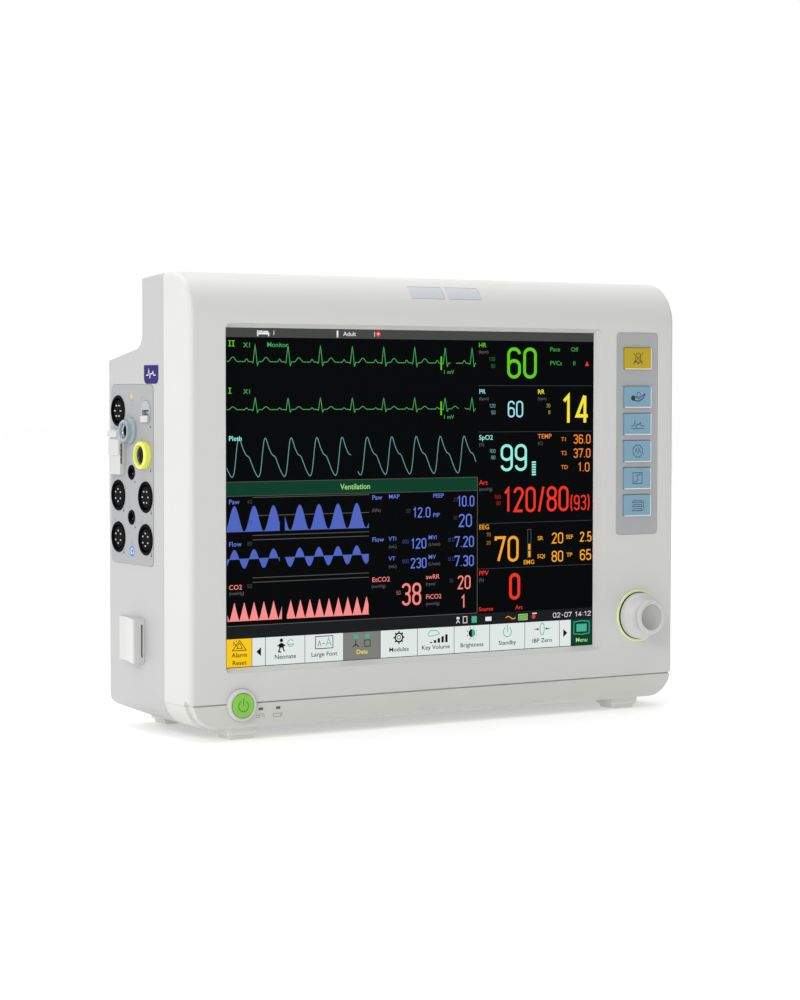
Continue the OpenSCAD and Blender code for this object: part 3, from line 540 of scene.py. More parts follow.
def draw_traces():
    beats = [22.3 + 25.4 * i for i in range(-1, 7)]
    late = [197.4]
    ecg = screen_ink()
    for base, r, t, p in ((22.7, 11.6, 2.9, 1.9), (54.9, 8.2, 1.9, 1.1)):
        sweep(ecg, 0.6, 179.4 if r > 10 else 186.4, 0.35,
              lambda x: ecg_height(x, beats, r, t, p), base, 0.52)
        sweep(ecg, 184 if r > 10 else 191.4, 200.8, 0.35,
              lambda x: ecg_height(x, late, r, t, p), base, 0.52)
    show(ecg, "ecg_traces", LIT["green"], 1)
    marks = screen_ink()
    marks.rect(170.8, 18, 172, 27.6)
    marks.rect(170.8, 49.6, 172, 59.2)
    show(marks, "ecg_scale_marks", LIT["bright_green"], 2)

    # one beat of the pulse wave: distance after the peak, share of the full height
    beat = [(0, 1.0), (0.8, 0.97), (1.8, 0.86), (3.0, 0.73), (4.6, 0.61), (5.8, 0.55), (7.2, 0.53),
            (8.2, 0.48), (9.6, 0.35), (11.6, 0.17), (13.4, 0.05), (14.6, 0.0), (15.4, 0.01),
            (16.4, 0.1), (17.2, 0.32), (18.2, 0.68), (19.0, 0.9), (19.6, 0.98), (20.1, 1.0)]

    def pulse(x):
        t = (x - 9.9) % 20.1
        for (a, ya), (b, yb) in zip(beat, beat[1:]):
            if t <= b:
                return 26.2 * (ya + (yb - ya) * (t - a) / (b - a))
        return 26.2
    pleth = screen_ink()
    sweep(pleth, 0.6, 97.6, 0.4, pulse, 100.2, 0.55)
    sweep(pleth, 103, 201, 0.4, pulse, 100.2, 0.55)
    show(pleth, "pulse_trace", LIT["teal"], 1)


def fill(ink, x0, x1, f, base, step=0.45):
    """Filled curve between x0 and x1, above or below its base line."""
    n = int((x1 - x0) / step)
    for i in range(n):
        a, b = x0 + i * step, x0 + (i + 1) * step
        ya, yb = f(a), f(b)
        if abs(ya) + abs(yb) < 0.05:
            continue
        if ya * yb < 0:
            ya = yb = 0.06
        ya = ya if abs(ya) > 0.02 else math.copysign(0.02, yb)
        yb = yb if abs(yb) > 0.02 else math.copysign(0.02, ya)
        ink.poly([(a, base), (b, base), (b, base - yb), (a, base - ya)])


def draw_breaths():
    blue = screen_ink()
    for x0, x1, peak, period in ((0.6, 41.2, 6.3, 15.0), (45.2, 112, 41.7, 15.1)):
        def airway(x):
            return 17.3 * abs(math.cos(math.pi * (x - peak) / period)) ** 1.9

        def flow(x):
            return 6.4 * math.cos(2 * math.pi * (x - peak) / period)
        fill(blue, x0, x1, airway, 136.8)
        fill(blue, x0, x1, flow, 155.2)
        blue.rect(x0, 136.5, x1, 136.9)
        blue.rect(x0, 154.9, x1, 155.4)
    show(blue, "breath_curves", LIT["blue"], 2)
    gas = screen_ink()
    for x0, x1, peak in ((1, 42.9, 6.2), (46.7, 112, 49.7)):
        def breath(x):
            return 12.9 * (1 - abs(2 * (((x - peak) / 7.54 + 0.5) % 1.0) - 1)) ** 1.12
        fill(gas, x0, x1, breath, 196.8, 0.38)
        gas.rect(x0, 196.4, x1, 196.9)
    show(gas, "gas_curve", LIT["pink"], 2)
    grid = screen_ink()
    for y in (113.9, 126.2, 139.5, 142.5, 168.1, 171.1):
        grid.line([(20.3, y), (112, y)], 0.45)
    grid.line([(0.4, 200.1), (202.3, 200.1)], 0.5)
    grid.line([(202.3, 103.4), (202.3, 200.1)], 0.5)
    grid.line([(0, 103.3), (202.3, 103.3)], 0.35)
    grid.line([(0, 112.8), (202.3, 112.8)], 0.35)
    show(grid, "screen_lines", LIT["line"], 1)


# Each reading: text, left, top, width, height, ink, pen width as a share of the height
READINGS = [
    ("60", 227.6, 11.0, 25.8, 22.4, "bright_green", 0.125),
    ("60", 228.2, 49.2, 13.4, 12.0, "aqua", 0.12),
    ("14", 275.6, 44.4, 24.6, 22.0, "yellow", 0.135),
    ("99", 222.2, 80.2, 22.8, 19.4, "cyan", 0.12),
    ("36.0", 286.2, 73.7, 15.4, 6.9, "orange", 0.15),
    ("37.0", 286.2, 83.9, 15.4, 6.9, "orange", 0.15),
    ("1.0", 290.4, 94.2, 10.4, 6.8, "orange", 0.15),
    ("120/80", 224.6, 111.0, 57.4, 18.4, "red", 0.125),
    ("(93)", 283.2, 117.8, 18.4, 11.2, "red", 0.12),
    ("70", 217.2, 146.0, 20.8, 18.6, "amber", 0.125),
    ("20", 267.2, 144.7, 10.2, 8.1, "amber", 0.14),
    ("2.5", 292.4, 144.8, 10.4, 7.4, "amber", 0.15),
    ("80", 267.2, 157.9, 10.2, 8.1, "amber", 0.14),
    ("65", 292.6, 157.7, 10.0, 8.0, "amber", 0.14),
    ("0", 229.8, 172.8, 9.7, 19.2, "red", 0.15),
    ("10.0", 185.2, 116.3, 14.4, 7.8, "blue_digit", 0.14),
    ("12.0", 148.0, 123.6, 14.6, 7.4, "blue_digit", 0.14),
    ("20", 186.4, 129.2, 11.2, 9.4, "blue_digit", 0.13),
    ("120", 146.4, 145.3, 12.8, 7.4, "blue_digit", 0.14),
    ("7.20", 183.0, 144.9, 16.4, 8.0, "blue_digit", 0.14),
    ("230", 146.2, 159.0, 13.2, 7.4, "blue_digit", 0.14),
    ("7.30", 183.0, 158.5, 16.4, 8.0, "blue_digit", 0.14),
    ("38", 138.8, 176.4, 16.2, 15.8, "pink_digit", 0.125),
    ("20", 185.6, 172.8, 11.0, 9.9, "pink_digit", 0.13),
    ("1", 188.4, 186.6, 4.2, 9.6, "pink_digit", 0.14),
    ("02-07 14:12", 268.6, 203.0, 34.0, 3.6, "white", 0.15),
]

# Small limits beside the readings
LIMITS = [
    ("120", 211.8, 18.2, "label_green"), ("50", 213.6, 23.2, "label_green"),
    ("120", 212.2, 51.4, "aqua"), ("50", 214.0, 56.2, "aqua"),
    ("30", 262.0, 51.4, "yellow"), ("8", 263.8, 56.2, "yellow"),
    ("100", 212.4, 83.6, "cyan"), ("90", 214.0, 88.2, "cyan"),
    ("160", 217.0, 116.4, "red"), ("90", 218.6, 121.0, "red"),
    ("70", 210.2, 143.2, "amber"), ("20", 210.2, 149.0, "amber"),
    ("40", 16.2, 115.4, "dim"), ("20", 16.2, 129.4, "dim"), ("80", 16.2, 143.6, "dim"),
    ("60", 16.2, 172.2, "dim"), ("25", 182.0, 117.6, "dim"), ("10", 181.6, 130.4, "dim"),
    ("20", 142.4, 124.6, "dim"), ("800", 139.4, 146.0, "blue"), ("800", 139.4, 159.8, "blue"),
    ("8.0", 177.6, 145.8, "blue"), ("8.0", 177.6, 159.4, "blue"), ("50", 134.4, 181.6, "pink"),
    ("30", 178.4, 174.8, "dim"),
]

# Labels: text, left, top, height, ink
LABELS = [
    ("X1", 13.2, 9.8, 3.3, "green"), ("X1", 13.2, 41.0, 3.3, "green"),
    ("Monitor", 31.2, 9.4, 3.3, "green"), ("Pleth", 2.0, 72.4, 3.3, "cyan"),
    ("1 mV", 173.0, 27.4, 2.8, "green"), ("1 mV", 173.0, 59.0, 2.8, "green"),
    ("HR", 202.9, 8.0, 3.3, "bright_green"), ("PR", 203.4, 40.9, 3.3, "aqua"),
    ("RR", 254.2, 41.0, 3.3, "yellow"), ("SpO2", 203.4, 73.4, 3.5, "cyan"),
    ("TEMP", 254.4, 73.0, 3.4, "orange"), ("T1", 275.2, 75.6, 3.0, "orange"),
    ("T2", 275.2, 85.6, 3.0, "orange"), ("TD", 275.2, 95.8, 3.0, "orange"),
    ("Pace", 265.0, 10.4, 3.2, "label_green"), ("Off", 283.6, 10.4, 3.2, "label_green"),
    ("PVCs", 265.0, 20.4, 3.2, "label_green"), ("0", 285.4, 20.4, 3.2, "label_green"),
    ("Art", 203.6, 105.4, 3.5, "red"), ("EEG", 203.6, 137.2, 3.4, "amber"),
    ("EMG", 242.2, 163.6, 3.2, "amber"), ("SR", 254.6, 146.8, 3.0, "amber"),
    ("SEF", 279.8, 146.6, 3.0, "amber"), ("SQI", 254.4, 159.8, 3.0, "amber"),
    ("TP", 280.4, 159.6, 3.0, "amber"), ("PPV", 203.6, 170.0, 3.4, "red"),
    ("Source", 203.6, 196.0, 2.9, "red"), ("Art", 235.4, 196.0, 2.9, "red"),
    ("Paw", 1.9, 114.8, 3.3, "blue_digit"), ("Flow", 1.9, 143.2, 3.3, "blue_digit"),
    ("CO2", 2.0, 172.2, 3.3, "pink_digit"), ("Paw", 114.4, 114.2, 3.3, "blue_digit"),
    ("MAP", 128.0, 114.0, 3.0, "blue_digit"), ("PEEP", 164.6, 114.2, 3.0, "blue_digit"),
    ("PIP", 164.6, 127.8, 3.0, "blue_digit"), ("Flow", 114.4, 143.4, 3.3, "blue_digit"),
    ("VTi", 128.0, 143.4, 3.0, "blue_digit"), ("VT", 128.0, 157.2, 3.0, "blue_digit"),
    ("MVi", 160.8, 143.4, 3.0, "blue_digit"), ("MV", 160.8, 157.2, 3.0, "blue_digit"),
    ("EtCO2", 114.4, 171.2, 3.4, "pink_digit"), ("awRR", 158.8, 171.0, 3.2, "pink_digit"),
    ("FiCO2", 158.8, 185.0, 3.2, "pink_digit"), ("Adult", 91.2, 1.6, 3.0, "white"),
    ("1", 35.6, 1.6, 3.0, "white"), 
]
UNITS = [("(bpm)", 203.0, 13.2), ("(bpm)", 203.4, 46.4), ("(rpm)", 254.2, 46.4), ("(%)", 203.4, 79.0),
         ("(C)", 254.4, 78.6), ("(mmHg)", 203.6, 110.8), ("(hPa)", 114.4, 123.6), ("(mL)", 128.0, 149.2),
         ("(mL)", 128.0, 163.0), ("(L/min)", 160.8, 148.6), ("(L/min)", 160.8, 162.4),
         ("(mmHg)", 114.0, 176.4), ("(rpm)", 158.8, 176.4), ("(mmHg)", 158.8, 190.4),
         ("(mmHg)", 2.0, 176.8), ("(%)", 203.6, 175.4)]


def draw_readings():
    inks = {}
    for text, x, y, w, h, tint, pen in READINGS:
        number(inks.setdefault(tint, screen_ink()), text, x, y, w, h, pen)
    for tint, ink in inks.items():
        show(ink, f"digits_{tint}", LIT[tint], 2)
    small = {}
    for text, x, y, tint in LIMITS:
        number(small.setdefault(tint, screen_ink()), text, x, y, 1.75 * len(text), 2.7, 0.15)
    for tint, ink in small.items():
        show(ink, f"limits_{tint}", dim_of(tint), 2)
    plane = screen_ink()
    for text, x, y, h, tint in LABELS:
        words(text, x, y, h, tint, plane)
    for text, x, y in UNITS:
        words(text, x, y, 2.3, "dim", plane, bold=0.0)
    words("Ventilation", 101, 105.9, 4.0, "title_text", plane, stretch=1.0, align="CENTER")
    leads = screen_ink()
    for x, y in ((3.0, 8.9), (5.6, 8.9), (3.0, 40.4)):
        leads.line([(x, y), (x, y + 3.5)], 0.7)
        leads.line([(x - 1.1, y), (x + 1.1, y)], 0.5).line([(x - 1.1, y + 3.5), (x + 1.1, y + 3.5)], 0.5)
    show(leads, "lead_names", LIT["bright_green"], 2)
    gauge = screen_ink()
    for i in range(6):
        gauge.rect(249.4, 92.8 + i * 1.78, 252.9, 94.0 + i * 1.78)
    show(gauge, "pulse_gauge", LIT["cyan"], 2)
    level = screen_ink()
    level.rect(246.5, 152.2, 248.3, 156.4)
    level.rect(246.5, 157.2, 248.3, 161.6)
    show(level, "muscle_gauge", LIT["amber"], 2)
    frame_line = screen_ink()
    frame_line.line([(246.0, 141.8), (248.8, 141.8), (248.8, 162), (246.0, 162)], 0.3, True)
    for y in (38.4, 71.4, 136.6, 168.8):
        frame_line.line([(203, y), (303, y)], 0.14)
    show(frame_line, "gauge_frame", LIT["dim"], 1)


DIMMED = {}


def dim_of(tint):
    """A darker ink of the same colour, for the small limits."""
    if tint not in DIMMED:
        mat = LIT[tint].copy()
        mat.name = LIT[tint].name + "_dimmed"
        mat.node_tree.nodes["Principled BSDF"].inputs["Emission Strength"].default_value = 0.42
        DIMMED[tint] = mat
    return DIMMED[tint]


SOFT_KEYS = [19.8, 30.2, 61.0, 91.5, 121.6, 152.1, 182.9, 213.3, 243.9, 274.5]
SOFT_ENDS = [29.8, 60.6, 91.2, 121.2, 151.7, 182.5, 212.9, 243.5, 274.1, 284.5]
KEY_TOP, KEY_LOW = 208.8, 227.7


def draw_bars():
    back = screen_ink()
    back.rect(0, 0, SCREEN_W / MM, SCREEN_H / MM)
    show(back, "picture_ground", LIT["black"], 0)
    bar = screen_ink()
    bar.rect(0, 0, SCREEN_W / MM, 6.4)
    show(bar, "top_bar", LIT["bar"], 1)
    strip = screen_ink()
    strip.rect(0, 200.6, SCREEN_W / MM, KEY_TOP)
    show(strip, "status_strip", LIT["strip"], 1)
    title = screen_ink()
    title.rect(0, 103.5, 202.1, 112.6)
    show(title, "title_bar", LIT["title"], 1)


def draw_soft_keys():
    keys = screen_ink()
    for i, (x0, x1) in enumerate(zip(SOFT_KEYS, SOFT_ENDS)):
        if i != 3:
            keys.rect(x0, KEY_TOP, x1, KEY_LOW)
    show(keys, "soft_keys", LIT["key"], 2)
    chosen = screen_ink()
    chosen.rect(SOFT_KEYS[3], KEY_TOP, SOFT_ENDS[3], KEY_LOW)
    show(chosen, "soft_key_chosen", LIT["key_grey"], 2)
    alarm = screen_ink()
    alarm.rect(0.3, KEY_TOP, 19.4, KEY_LOW)
    show(alarm, "soft_key_alarm", LIT["key_yellow"], 2)
    menu = screen_ink()
    menu.rect(284.9, KEY_TOP, 303.8, KEY_LOW)
    show(menu, "soft_key_menu", LIT["key_dark"], 2)
    plane = screen_ink()
    for text, x, tint in (
            ("Alarm", 10.0, "icon"), ("Neonate", 45.4, "icon"), ("Large Font", 76.1, "icon"),
            ("Data", 106.4, "yellow"), ("Modules", 136.6, "icon"), ("Key Volume", 167.3, "icon"),
            ("Brightness", 197.9, "icon"), ("Standby", 228.4, "icon"), ("IBP Zero", 259.0, "icon"),
            ("Menu", 294.3, "title_text")):
        y = {"Alarm": 218.0, "Menu": 222.2}.get(text, 220.8)
        words(text, x, y, 3.1, tint, plane, stretch=1.12, align="CENTER")
    words("Reset", 10.0, 223.2, 3.1, "icon", plane, stretch=1.12, align="CENTER")
    draw_soft_icons()


def draw_soft_icons():
    dark, teal = screen_ink(), screen_ink()
    dark.line([(4.6, 216.6), (15.2, 216.6), (10.2, 209.8)], 0.5, True)
    dark.line([(8.0, 215.2), (12.2, 215.2), (11.5, 214.2), (11.2, 212.6), (10.1, 211.7), (9.0, 212.6),
               (8.8, 214.2)], 0.45, True).line([(5.2, 210.6), (8.0, 213.6)], 0.5)
    dark.disc(5.6, 212.8, 0.45, 10).disc(7.6, 210.2, 0.45, 10)
    dark.poly([(23, 218.2), (26.6, 215.2), (26.6, 221.2)])
    dark.poly([(281.4, 218.2), (277.8, 215.2), (277.8, 221.2)])
    # small child with a line to a monitor
    dark.disc(42.4, 211.4, 1.3).line([(39.4, 215.2), (42.4, 213.6), (45.4, 215.2)], 1.0)
    dark.poly([(41, 213.4), (43.8, 213.4), (44.4, 216.4), (40.4, 216.4)])
    dark.line([(41.4, 216.4), (40.2, 219), (42.2, 219.4)], 0.9).line([(43.4, 216.4), (44.8, 219)], 0.9)
    teal.line(bend((49.6, 213.6), 2.3, 0, 330, 20), 0.5).line([(47.6, 214.4), (51.4, 214.4)], 0.5)
    # small and large letter in a frame
    dark.line([(69.2, 210.2), (83, 210.2), (83, 218.6), (69.2, 218.6)], 0.55, True)
    dark.line([(71, 217), (72.3, 213.4), (73.6, 217)], 0.45).line([(74.6, 215.2), (76.4, 215.2)], 0.45)
    teal.line([(77.6, 217), (79.6, 211.6), (81.6, 217)], 0.6).line([(78.4, 215.2), (80.8, 215.2)], 0.5)
    # two devices
    dark.line([(101.4, 214), (101.4, 218.4)], 0.6).line([(98.8, 219), (101.4, 217), (104, 219)], 0.6)
    dark.line([(108.6, 214.6), (113, 214.6), (113, 219), (108.6, 219)], 0.5, True)
    teal.rect(99.6, 210.4, 103.2, 213.2).rect(109.2, 210.4, 112.4, 213.6)
    # gear
    dark.ring(136.6, 214.2, 3.0, 1.1).ring(136.6, 214.2, 1.3, 0.5)
    for i in range(8):
        a = math.radians(i * 45)
        dark.line([(136.6 + 3.2 * math.cos(a), 214.2 + 3.2 * math.sin(a)),
                   (136.6 + 4.5 * math.cos(a), 214.2 + 4.5 * math.sin(a))], 1.1)
    # rising steps with a hand
    for i in range(5):
        dark.rect(162.4 + i * 3.2, 218.8 - i * 1.2, 164.4 + i * 3.2, 219.6)
    teal.line([(160.6, 213), (163, 210.6), (168, 210.8), (170.4, 213.2), (165.8, 214.4),
               (161.6, 214.6)], 0.5, True)
    # half sun
    dark.poly(bend((197.9, 214.2), 2.9, 90, 270, 16))
    teal.poly(bend((197.9, 214.2), 2.9, -90, 90, 16))
    for i in range(8):
        a = math.radians(i * 45 + 22.5)
        (dark if i in (2, 3, 4, 5) else teal).line(
            [(197.9 + 3.6 * math.cos(a), 214.2 + 3.6 * math.sin(a)),
             (197.9 + 4.8 * math.cos(a), 214.2 + 4.8 * math.sin(a))], 0.6)
    # standby sign
    teal.line(bend((228.4, 214.8), 3.5, -60, 240, 24), 0.6).line([(228.4, 209.8), (228.4, 215)], 0.6)
    # zero between arrows
    teal.line([(259 + 1.9 * math.cos(a / 10 * math.pi), 214.2 + 4.3 * math.sin(a / 10 * math.pi))
               for a in range(20)], 0.6, True)
    for s in (-1, 1):
        dark.line([(259 + s * 6.8, 214.2), (259 + s * 3.2, 214.2)], 0.5)
        dark.poly([(259 + s * 2.6, 214.2), (259 + s * 4.4, 213.2), (259 + s * 4.4, 215.2)])
    teal.rect(289.6, 212.2, 298.8, 217.8)
    teal.line([(287.4, 210.6), (294.2, 209.9), (301, 210.6), (301.2, 219.2), (294.2, 219.9),
               (287.2, 219.2)], 0.6, True)
    show(dark, "soft_icons_dark", LIT["icon"], 3)
    show(teal, "soft_icons_teal", LIT["icon_teal"], 3)


def draw_status_icons():
    white, red, green, amber = screen_ink(), screen_ink(), screen_ink(), screen_ink()
    white.rect(24, 3.0, 33, 4.4).rect(23.8, 1.6, 24.8, 5.6).rect(32.2, 3.0, 33.2, 5.6)
    white.rect(25.4, 1.8, 27.8, 2.8).rect(28.2, 2.0, 32.4, 2.9)
    white.disc(86.6, 1.7, 0.75, 14).rect(85.9, 2.4, 87.3, 4.4)
    white.rect(86.0, 4.2, 86.5, 5.8).rect(86.7, 4.2, 87.2, 5.8)
    red.disc(119.4, 3.0, 1.9, 20).disc(251.4, 204.9, 1.6, 18)
    red.poly([(298.2, 20.4), (300, 24), (296.4, 24)])
    white.disc(119.4, 3.0, 0.7, 14).line([(116.4, 1.6), (116.4, 4.8)], 0.5)
    white.rect(250.2, 202.2, 254.2, 203.0).rect(209.4, 203.2, 214.6, 206.2)
    white.line([(184.6, 206.6), (186, 204.4), (187.4, 206.6)], 0.6).rect(184.8, 202.2, 187.2, 203.8)
    white.line([(190.4, 202.2), (193.6, 202.2), (193.6, 206.6), (190.4, 206.6)], 0.5, True)
    teal = screen_ink()
    teal.rect(197.6, 202.2, 202.0, 206.9)
    green.rect(238.8, 203.4, 245.2, 206.2)
    white.line([(238.2, 202.8), (245.8, 202.8), (245.8, 206.8), (238.2, 206.8)], 0.35, True)
    amber.line([(227.0 + i * 0.45, 204.8 - 1.0 * math.sin(i / 19 * 2 * math.pi)) for i in range(20)], 0.6)
    show(white, "status_icons_white", LIT["white"], 3)
    show(red, "status_icons_red", LIT["red"], 2)
    show(green, "status_icons_green", LIT["bright_green"], 2)
    show(amber, "status_icons_amber", LIT["amber"], 2)
    show(teal, "status_icons_teal", LIT["icon_teal"], 2)


# ---- controls -------------------------------------------------------------------------

def front_ink(node):
    """Print on the front of a node, centred on it."""
    lo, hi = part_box(node)
    return Ink(((lo.x + hi.x) / 2, lo.y, (lo.z + hi.z) / 2), (1, 0, 0), (0, 0, -1))


def key_icons():
    for i in range(1, 7):
        ink, back = front_ink(f"key_{i}"), front_ink(f"key_{i}")
        slot = "key_yellow" if i == 1 else "key_blue"
        if i == 1:
            ink.line([(-3.6, 2.6), (3.6, 2.6), (2.4, 1.2), (2.1, -1.8)] + bend((0, -1.8), 2.1, 0, -180, 10)
                     + [(-2.4, 1.2)], 0.5, True)
            ink.line([(-4.4, -4.2), (4.4, 4.2)], 0.45).line([(4.4, -4.2), (-4.4, 4.2)], 0.45)
            ink.disc(0, 3.6, 0.7, 14)
        elif i == 2:
            ink.disc(-4.4, 0.9, 2.0, 24).line(bend((0.6, -1.6), 1.7, 0, 360, 20), 0.45)
            ink.line([(-3.4, 2.6), (0.6, 3.2), (4.2, 1.6), (6.8, -2.2)], 0.8)
            ink.line([(-2.6, -0.4), (0.8, 1.4), (3.4, -0.2), (6.2, -2.4)], 0.6)
        elif i == 3:
            ink.line([(-6, 1.4), (-3.6, 1.4), (-2.6, -2.6), (-1.4, 2.6), (-0.6, 0.2), (1.4, 0.2),
                      (2.2, -1.4), (3, 1.4), (6, 1.4)], 0.5)
            ink.line([(-6, 3.4), (6, 3.4)], 0.4)
        elif i == 4:
            ink.line(bend((0, 0), 4.7, 22.5, 382.5, 8), 0.5, True)
            ink.line([(-2.6, 1.8), (-1.2, -2.0), (0, 2.2), (1.2, -2.2), (2.6, 1.6)], 0.5)
        elif i == 5:
            ink.line([(-4.2, -4), (4.2, -4), (4.2, 4), (-4.2, 4)], 0.5, True)
            ink.line([(-3, 2.6), (-0.8, 2.6), (0.6, 0.2), (-0.8, -1.8), (1.6, -2.6), (3, -2.6)], 0.5)
        else:
            for k in range(3):
                ink.line([(-3.6, -3.4 + k * 3), (3.6, -3.4 + k * 3), (4.6, -2.0 + k * 3),
                          (-4.6, -2.0 + k * 3)], 0.45, True)
            ink.line([(5.6, -3.2), (5.6, 3.4)], 0.4)
        ink.make(f"key_{i}_icon", PRINT_DARK, f"key_{i}", slot, 0.0, 0.03)
        # painted highlight: a pale rim along the right and the lower side of the raised key, where light
        # catches its edges
        w, h = 12.25, 7.7
        back.line([(w, -h + 0.3), (w, h), (-w + 0.3, h)], 0.55)
        back.make(f"key_{i}_rim", PRINT_AND_PAINTED_HIGHLIGHT_WHITE, f"key_{i}", slot, -0.02, 0.04)


def knob_pieces():
    c = middle("knob")
    face = Vector((c.x, FACE_Y, c.z))
    reach = (FACE_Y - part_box("knob")[0].y) / MM
    out = (0, -1, 0)
    skirt = [(3.1, 2.1), (14.9, 2.1), (15.2, 1.15)] + bend((16.5, 1.55), 0.4, -90, 0, 4)
    skirt += [(16.9, 4.6)]
    skirt += bend((14.5, 4.7), 2.4, 0, 55, 6)[1:]
    neck = [(13.6, 8.4), (12.2, 10.2), (11.6, 11.6), (11.5, 12.4)]
    rim = bend((11.3, reach - 1.6), 1.5, -20, 84, 8) + [(10.9, reach - 0.05)]
    rim += bend((10.1, reach - 0.9), 0.9, 80, 130, 4)
    dish = [(9.25, reach - 0.6), (8.7, reach - 1.6), (7.8, reach - 2.55), (6.6, reach - 3.4)]
    dish += [(5.2, reach - 4.0), (3.4, reach - 4.5), (1.6, reach - 4.75)]
    inside = [(0.001, 11.0), (3.1, 11.0), (3.1, 2.1)]
    profile = skirt + neck + rim + [(9.35, reach - 0.55), (9.3, reach - 5.3), (0.001, reach - 5.3)]
    knob = lathe("knob_cap", face, out, profile + inside, MATS["knob_white"], "knob",
                 128, 30)
    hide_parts("knob")
    inlay = [(0.001, reach - 5.25), (9.25, reach - 5.25)] + dish + [(0.001, reach - 4.8)]
    lathe("knob_inlay", face, out, inlay + [(0.001, reach - 5.25)], MATS["knob_inlay"], "knob",
          96, 30)
    ring = [(17.35, -4.3), (21, -4.3), (21, -3.1), (19.4, -3.1), (19.4, 0.2)]
    ring += bend((18.9, 0.3), 0.5, 0, 90, 5) + [(17.8, 0.8), (17.35, 0.5), (17.35, -4.3)]
    piece = lathe("knob_light_ring", face, out, ring, MATS["ring_green"], "case",
                  128, 30)
    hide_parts("knob_ring")
    # painted shade: the real groove under the knob gets a black floor, so the gap between ring and knob
    # reads dark
    well = [(5.4, -4.2), (17.3, -4.2), (17.3, -0.1), (5.4, -0.1), (5.4, -4.2)]
    lathe("knob_well_painted_shade", face, out, well, MATS["black_plastic"], "case", 96, 30)


def power_pieces():
    c = middle("power_button")
    face = Vector((c.x, FACE_Y, c.z))
    out = (0, -1, 0)
    cap = [(0.001, 3.7), (4, 3.68), (7.1, 3.55)] + bend((7.5, 2.95), 0.65, 75, 0, 5)
    cap += [(8.19, 2.7), (8.19, -2.4), (4, -2.4), (4, -7), (0.001, -7), (0.001, 3.7)]
    button = lathe("power_cap", face, out, cap, MATS["button_green"], "power_button",
                   96, 30)
    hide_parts("power_button")
    collar = [(8.42, -3.4), (8.42, 2.7)] + bend((9.1, 2.75), 0.65, 180, 90, 4) + [(9.6, 3.38)] \
        + bend((9.5, 2.0), 1.4, 80, 20, 5) + [(10.98, 0.4), (10.98, -3.4), (8.42, -3.4)]
    ring = lathe("power_collar", face, out, collar, MATS["knob_white"], "case", 96, 30)
    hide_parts("power_ring")
    ink = front_ink("power_button")
    ink.line(bend((0, 0.3), 3.7, -62, 242, 30), 0.55).line([(0, -5.0), (0, 0.6)], 0.55)
    ink.make("power_sign", finish("sign_green", srgb(58, 118, 46), 0.4, 0.3, 0.004, 0.05),
             "power_button", "button_green", 0.0, 0.05)


def fascia_icons():
    lo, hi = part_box("status_lamps")
    ink = Ink((lo.x, FACE_Y, lo.z), (1, 0, 0), (0, 0, -1))
    span = (hi.x - lo.x) / MM
    ink.ring(2.2, 4.2, 1.9, 0.4, 150, 400).line([(-2.4, 3.4), (0.3, 3.4)], 0.4)
    ink.line([(-2.4, 5.0), (0.3, 5.0)], 0.4).line([(2.2, 4.2), (3.4, 4.2)], 0.5)
    x = span - 3.2
    ink.line([(x - 2.2, 3.0), (x + 3.6, 3.0), (x + 3.6, 5.2), (x - 2.2, 5.2)], 0.4, True)
    ink.line([(x + 4.4, 2.6), (x + 4.4, 4.8)], 0.5)
    ink.make("lamp_icons", PRINT_GREY, "case", "case_strip", 0.0, 0.02)


# ---- left wall ------------------------------------------------------------------------

LEFT_OUT = Vector((-1, 0, 0))


def socket_pieces():
    for node in ["ecg_socket"] + [f"sensor_socket_{i}" for i in range(1, 5)]:
        lo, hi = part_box(node)
        centre = Vector((LEFT_X, (lo.y + hi.y) / 2, (lo.z + hi.z) / 2))
        r = (hi.y - lo.y) / 2 / MM
        shape = [(0.001, -12), (r, -12), (r, 0.7)] + bend((r - 0.5, 0.6), 0.5, 0, 90, 4) \
            + [(9.2, 1.1), (8.95, 0.9), (8.8, -1.8), (7.7, -1.8), (7.5, 0.1), (7.2, 0.35),
               (0.001, 0.35), (0.001, -12)]
        piece = lathe(node + "_shell", centre, LEFT_OUT, shape, MATS["socket_black"], "case",
                      72, 30)
        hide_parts(node)
        pins(node, centre)
    for i in (1, 2):
        node = f"temperature_jack_{i}"
        lo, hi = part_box(node)
        centre = Vector((LEFT_X, (lo.y + hi.y) / 2, (lo.z + hi.z) / 2))
        shape = [(0.001, -12), (5.1, -12), (5.1, 0.6)] + bend((4.7, 0.6), 0.4, 0, 90, 4) \
            + [(3.5, 1.0), (3.2, 0.8), (2.9, -2.2), (0.001, -2.2), (0.001, -12)]
        piece = lathe(node + "_shell", centre, LEFT_OUT, shape, MATS["socket_black"], "case",
                      56, 30)
        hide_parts(node)
        lathe(f"jack_contact_{i}", centre + LEFT_OUT * -2.1 * MM + Vector((0, 0, -1.2 * MM)), LEFT_OUT,
              [(0.001, 0), (1.2, 0), (1.1, 1.2), (0.7, 1.5), (0.001, 1.5)], PIN_METAL, "case",
              24, 30)


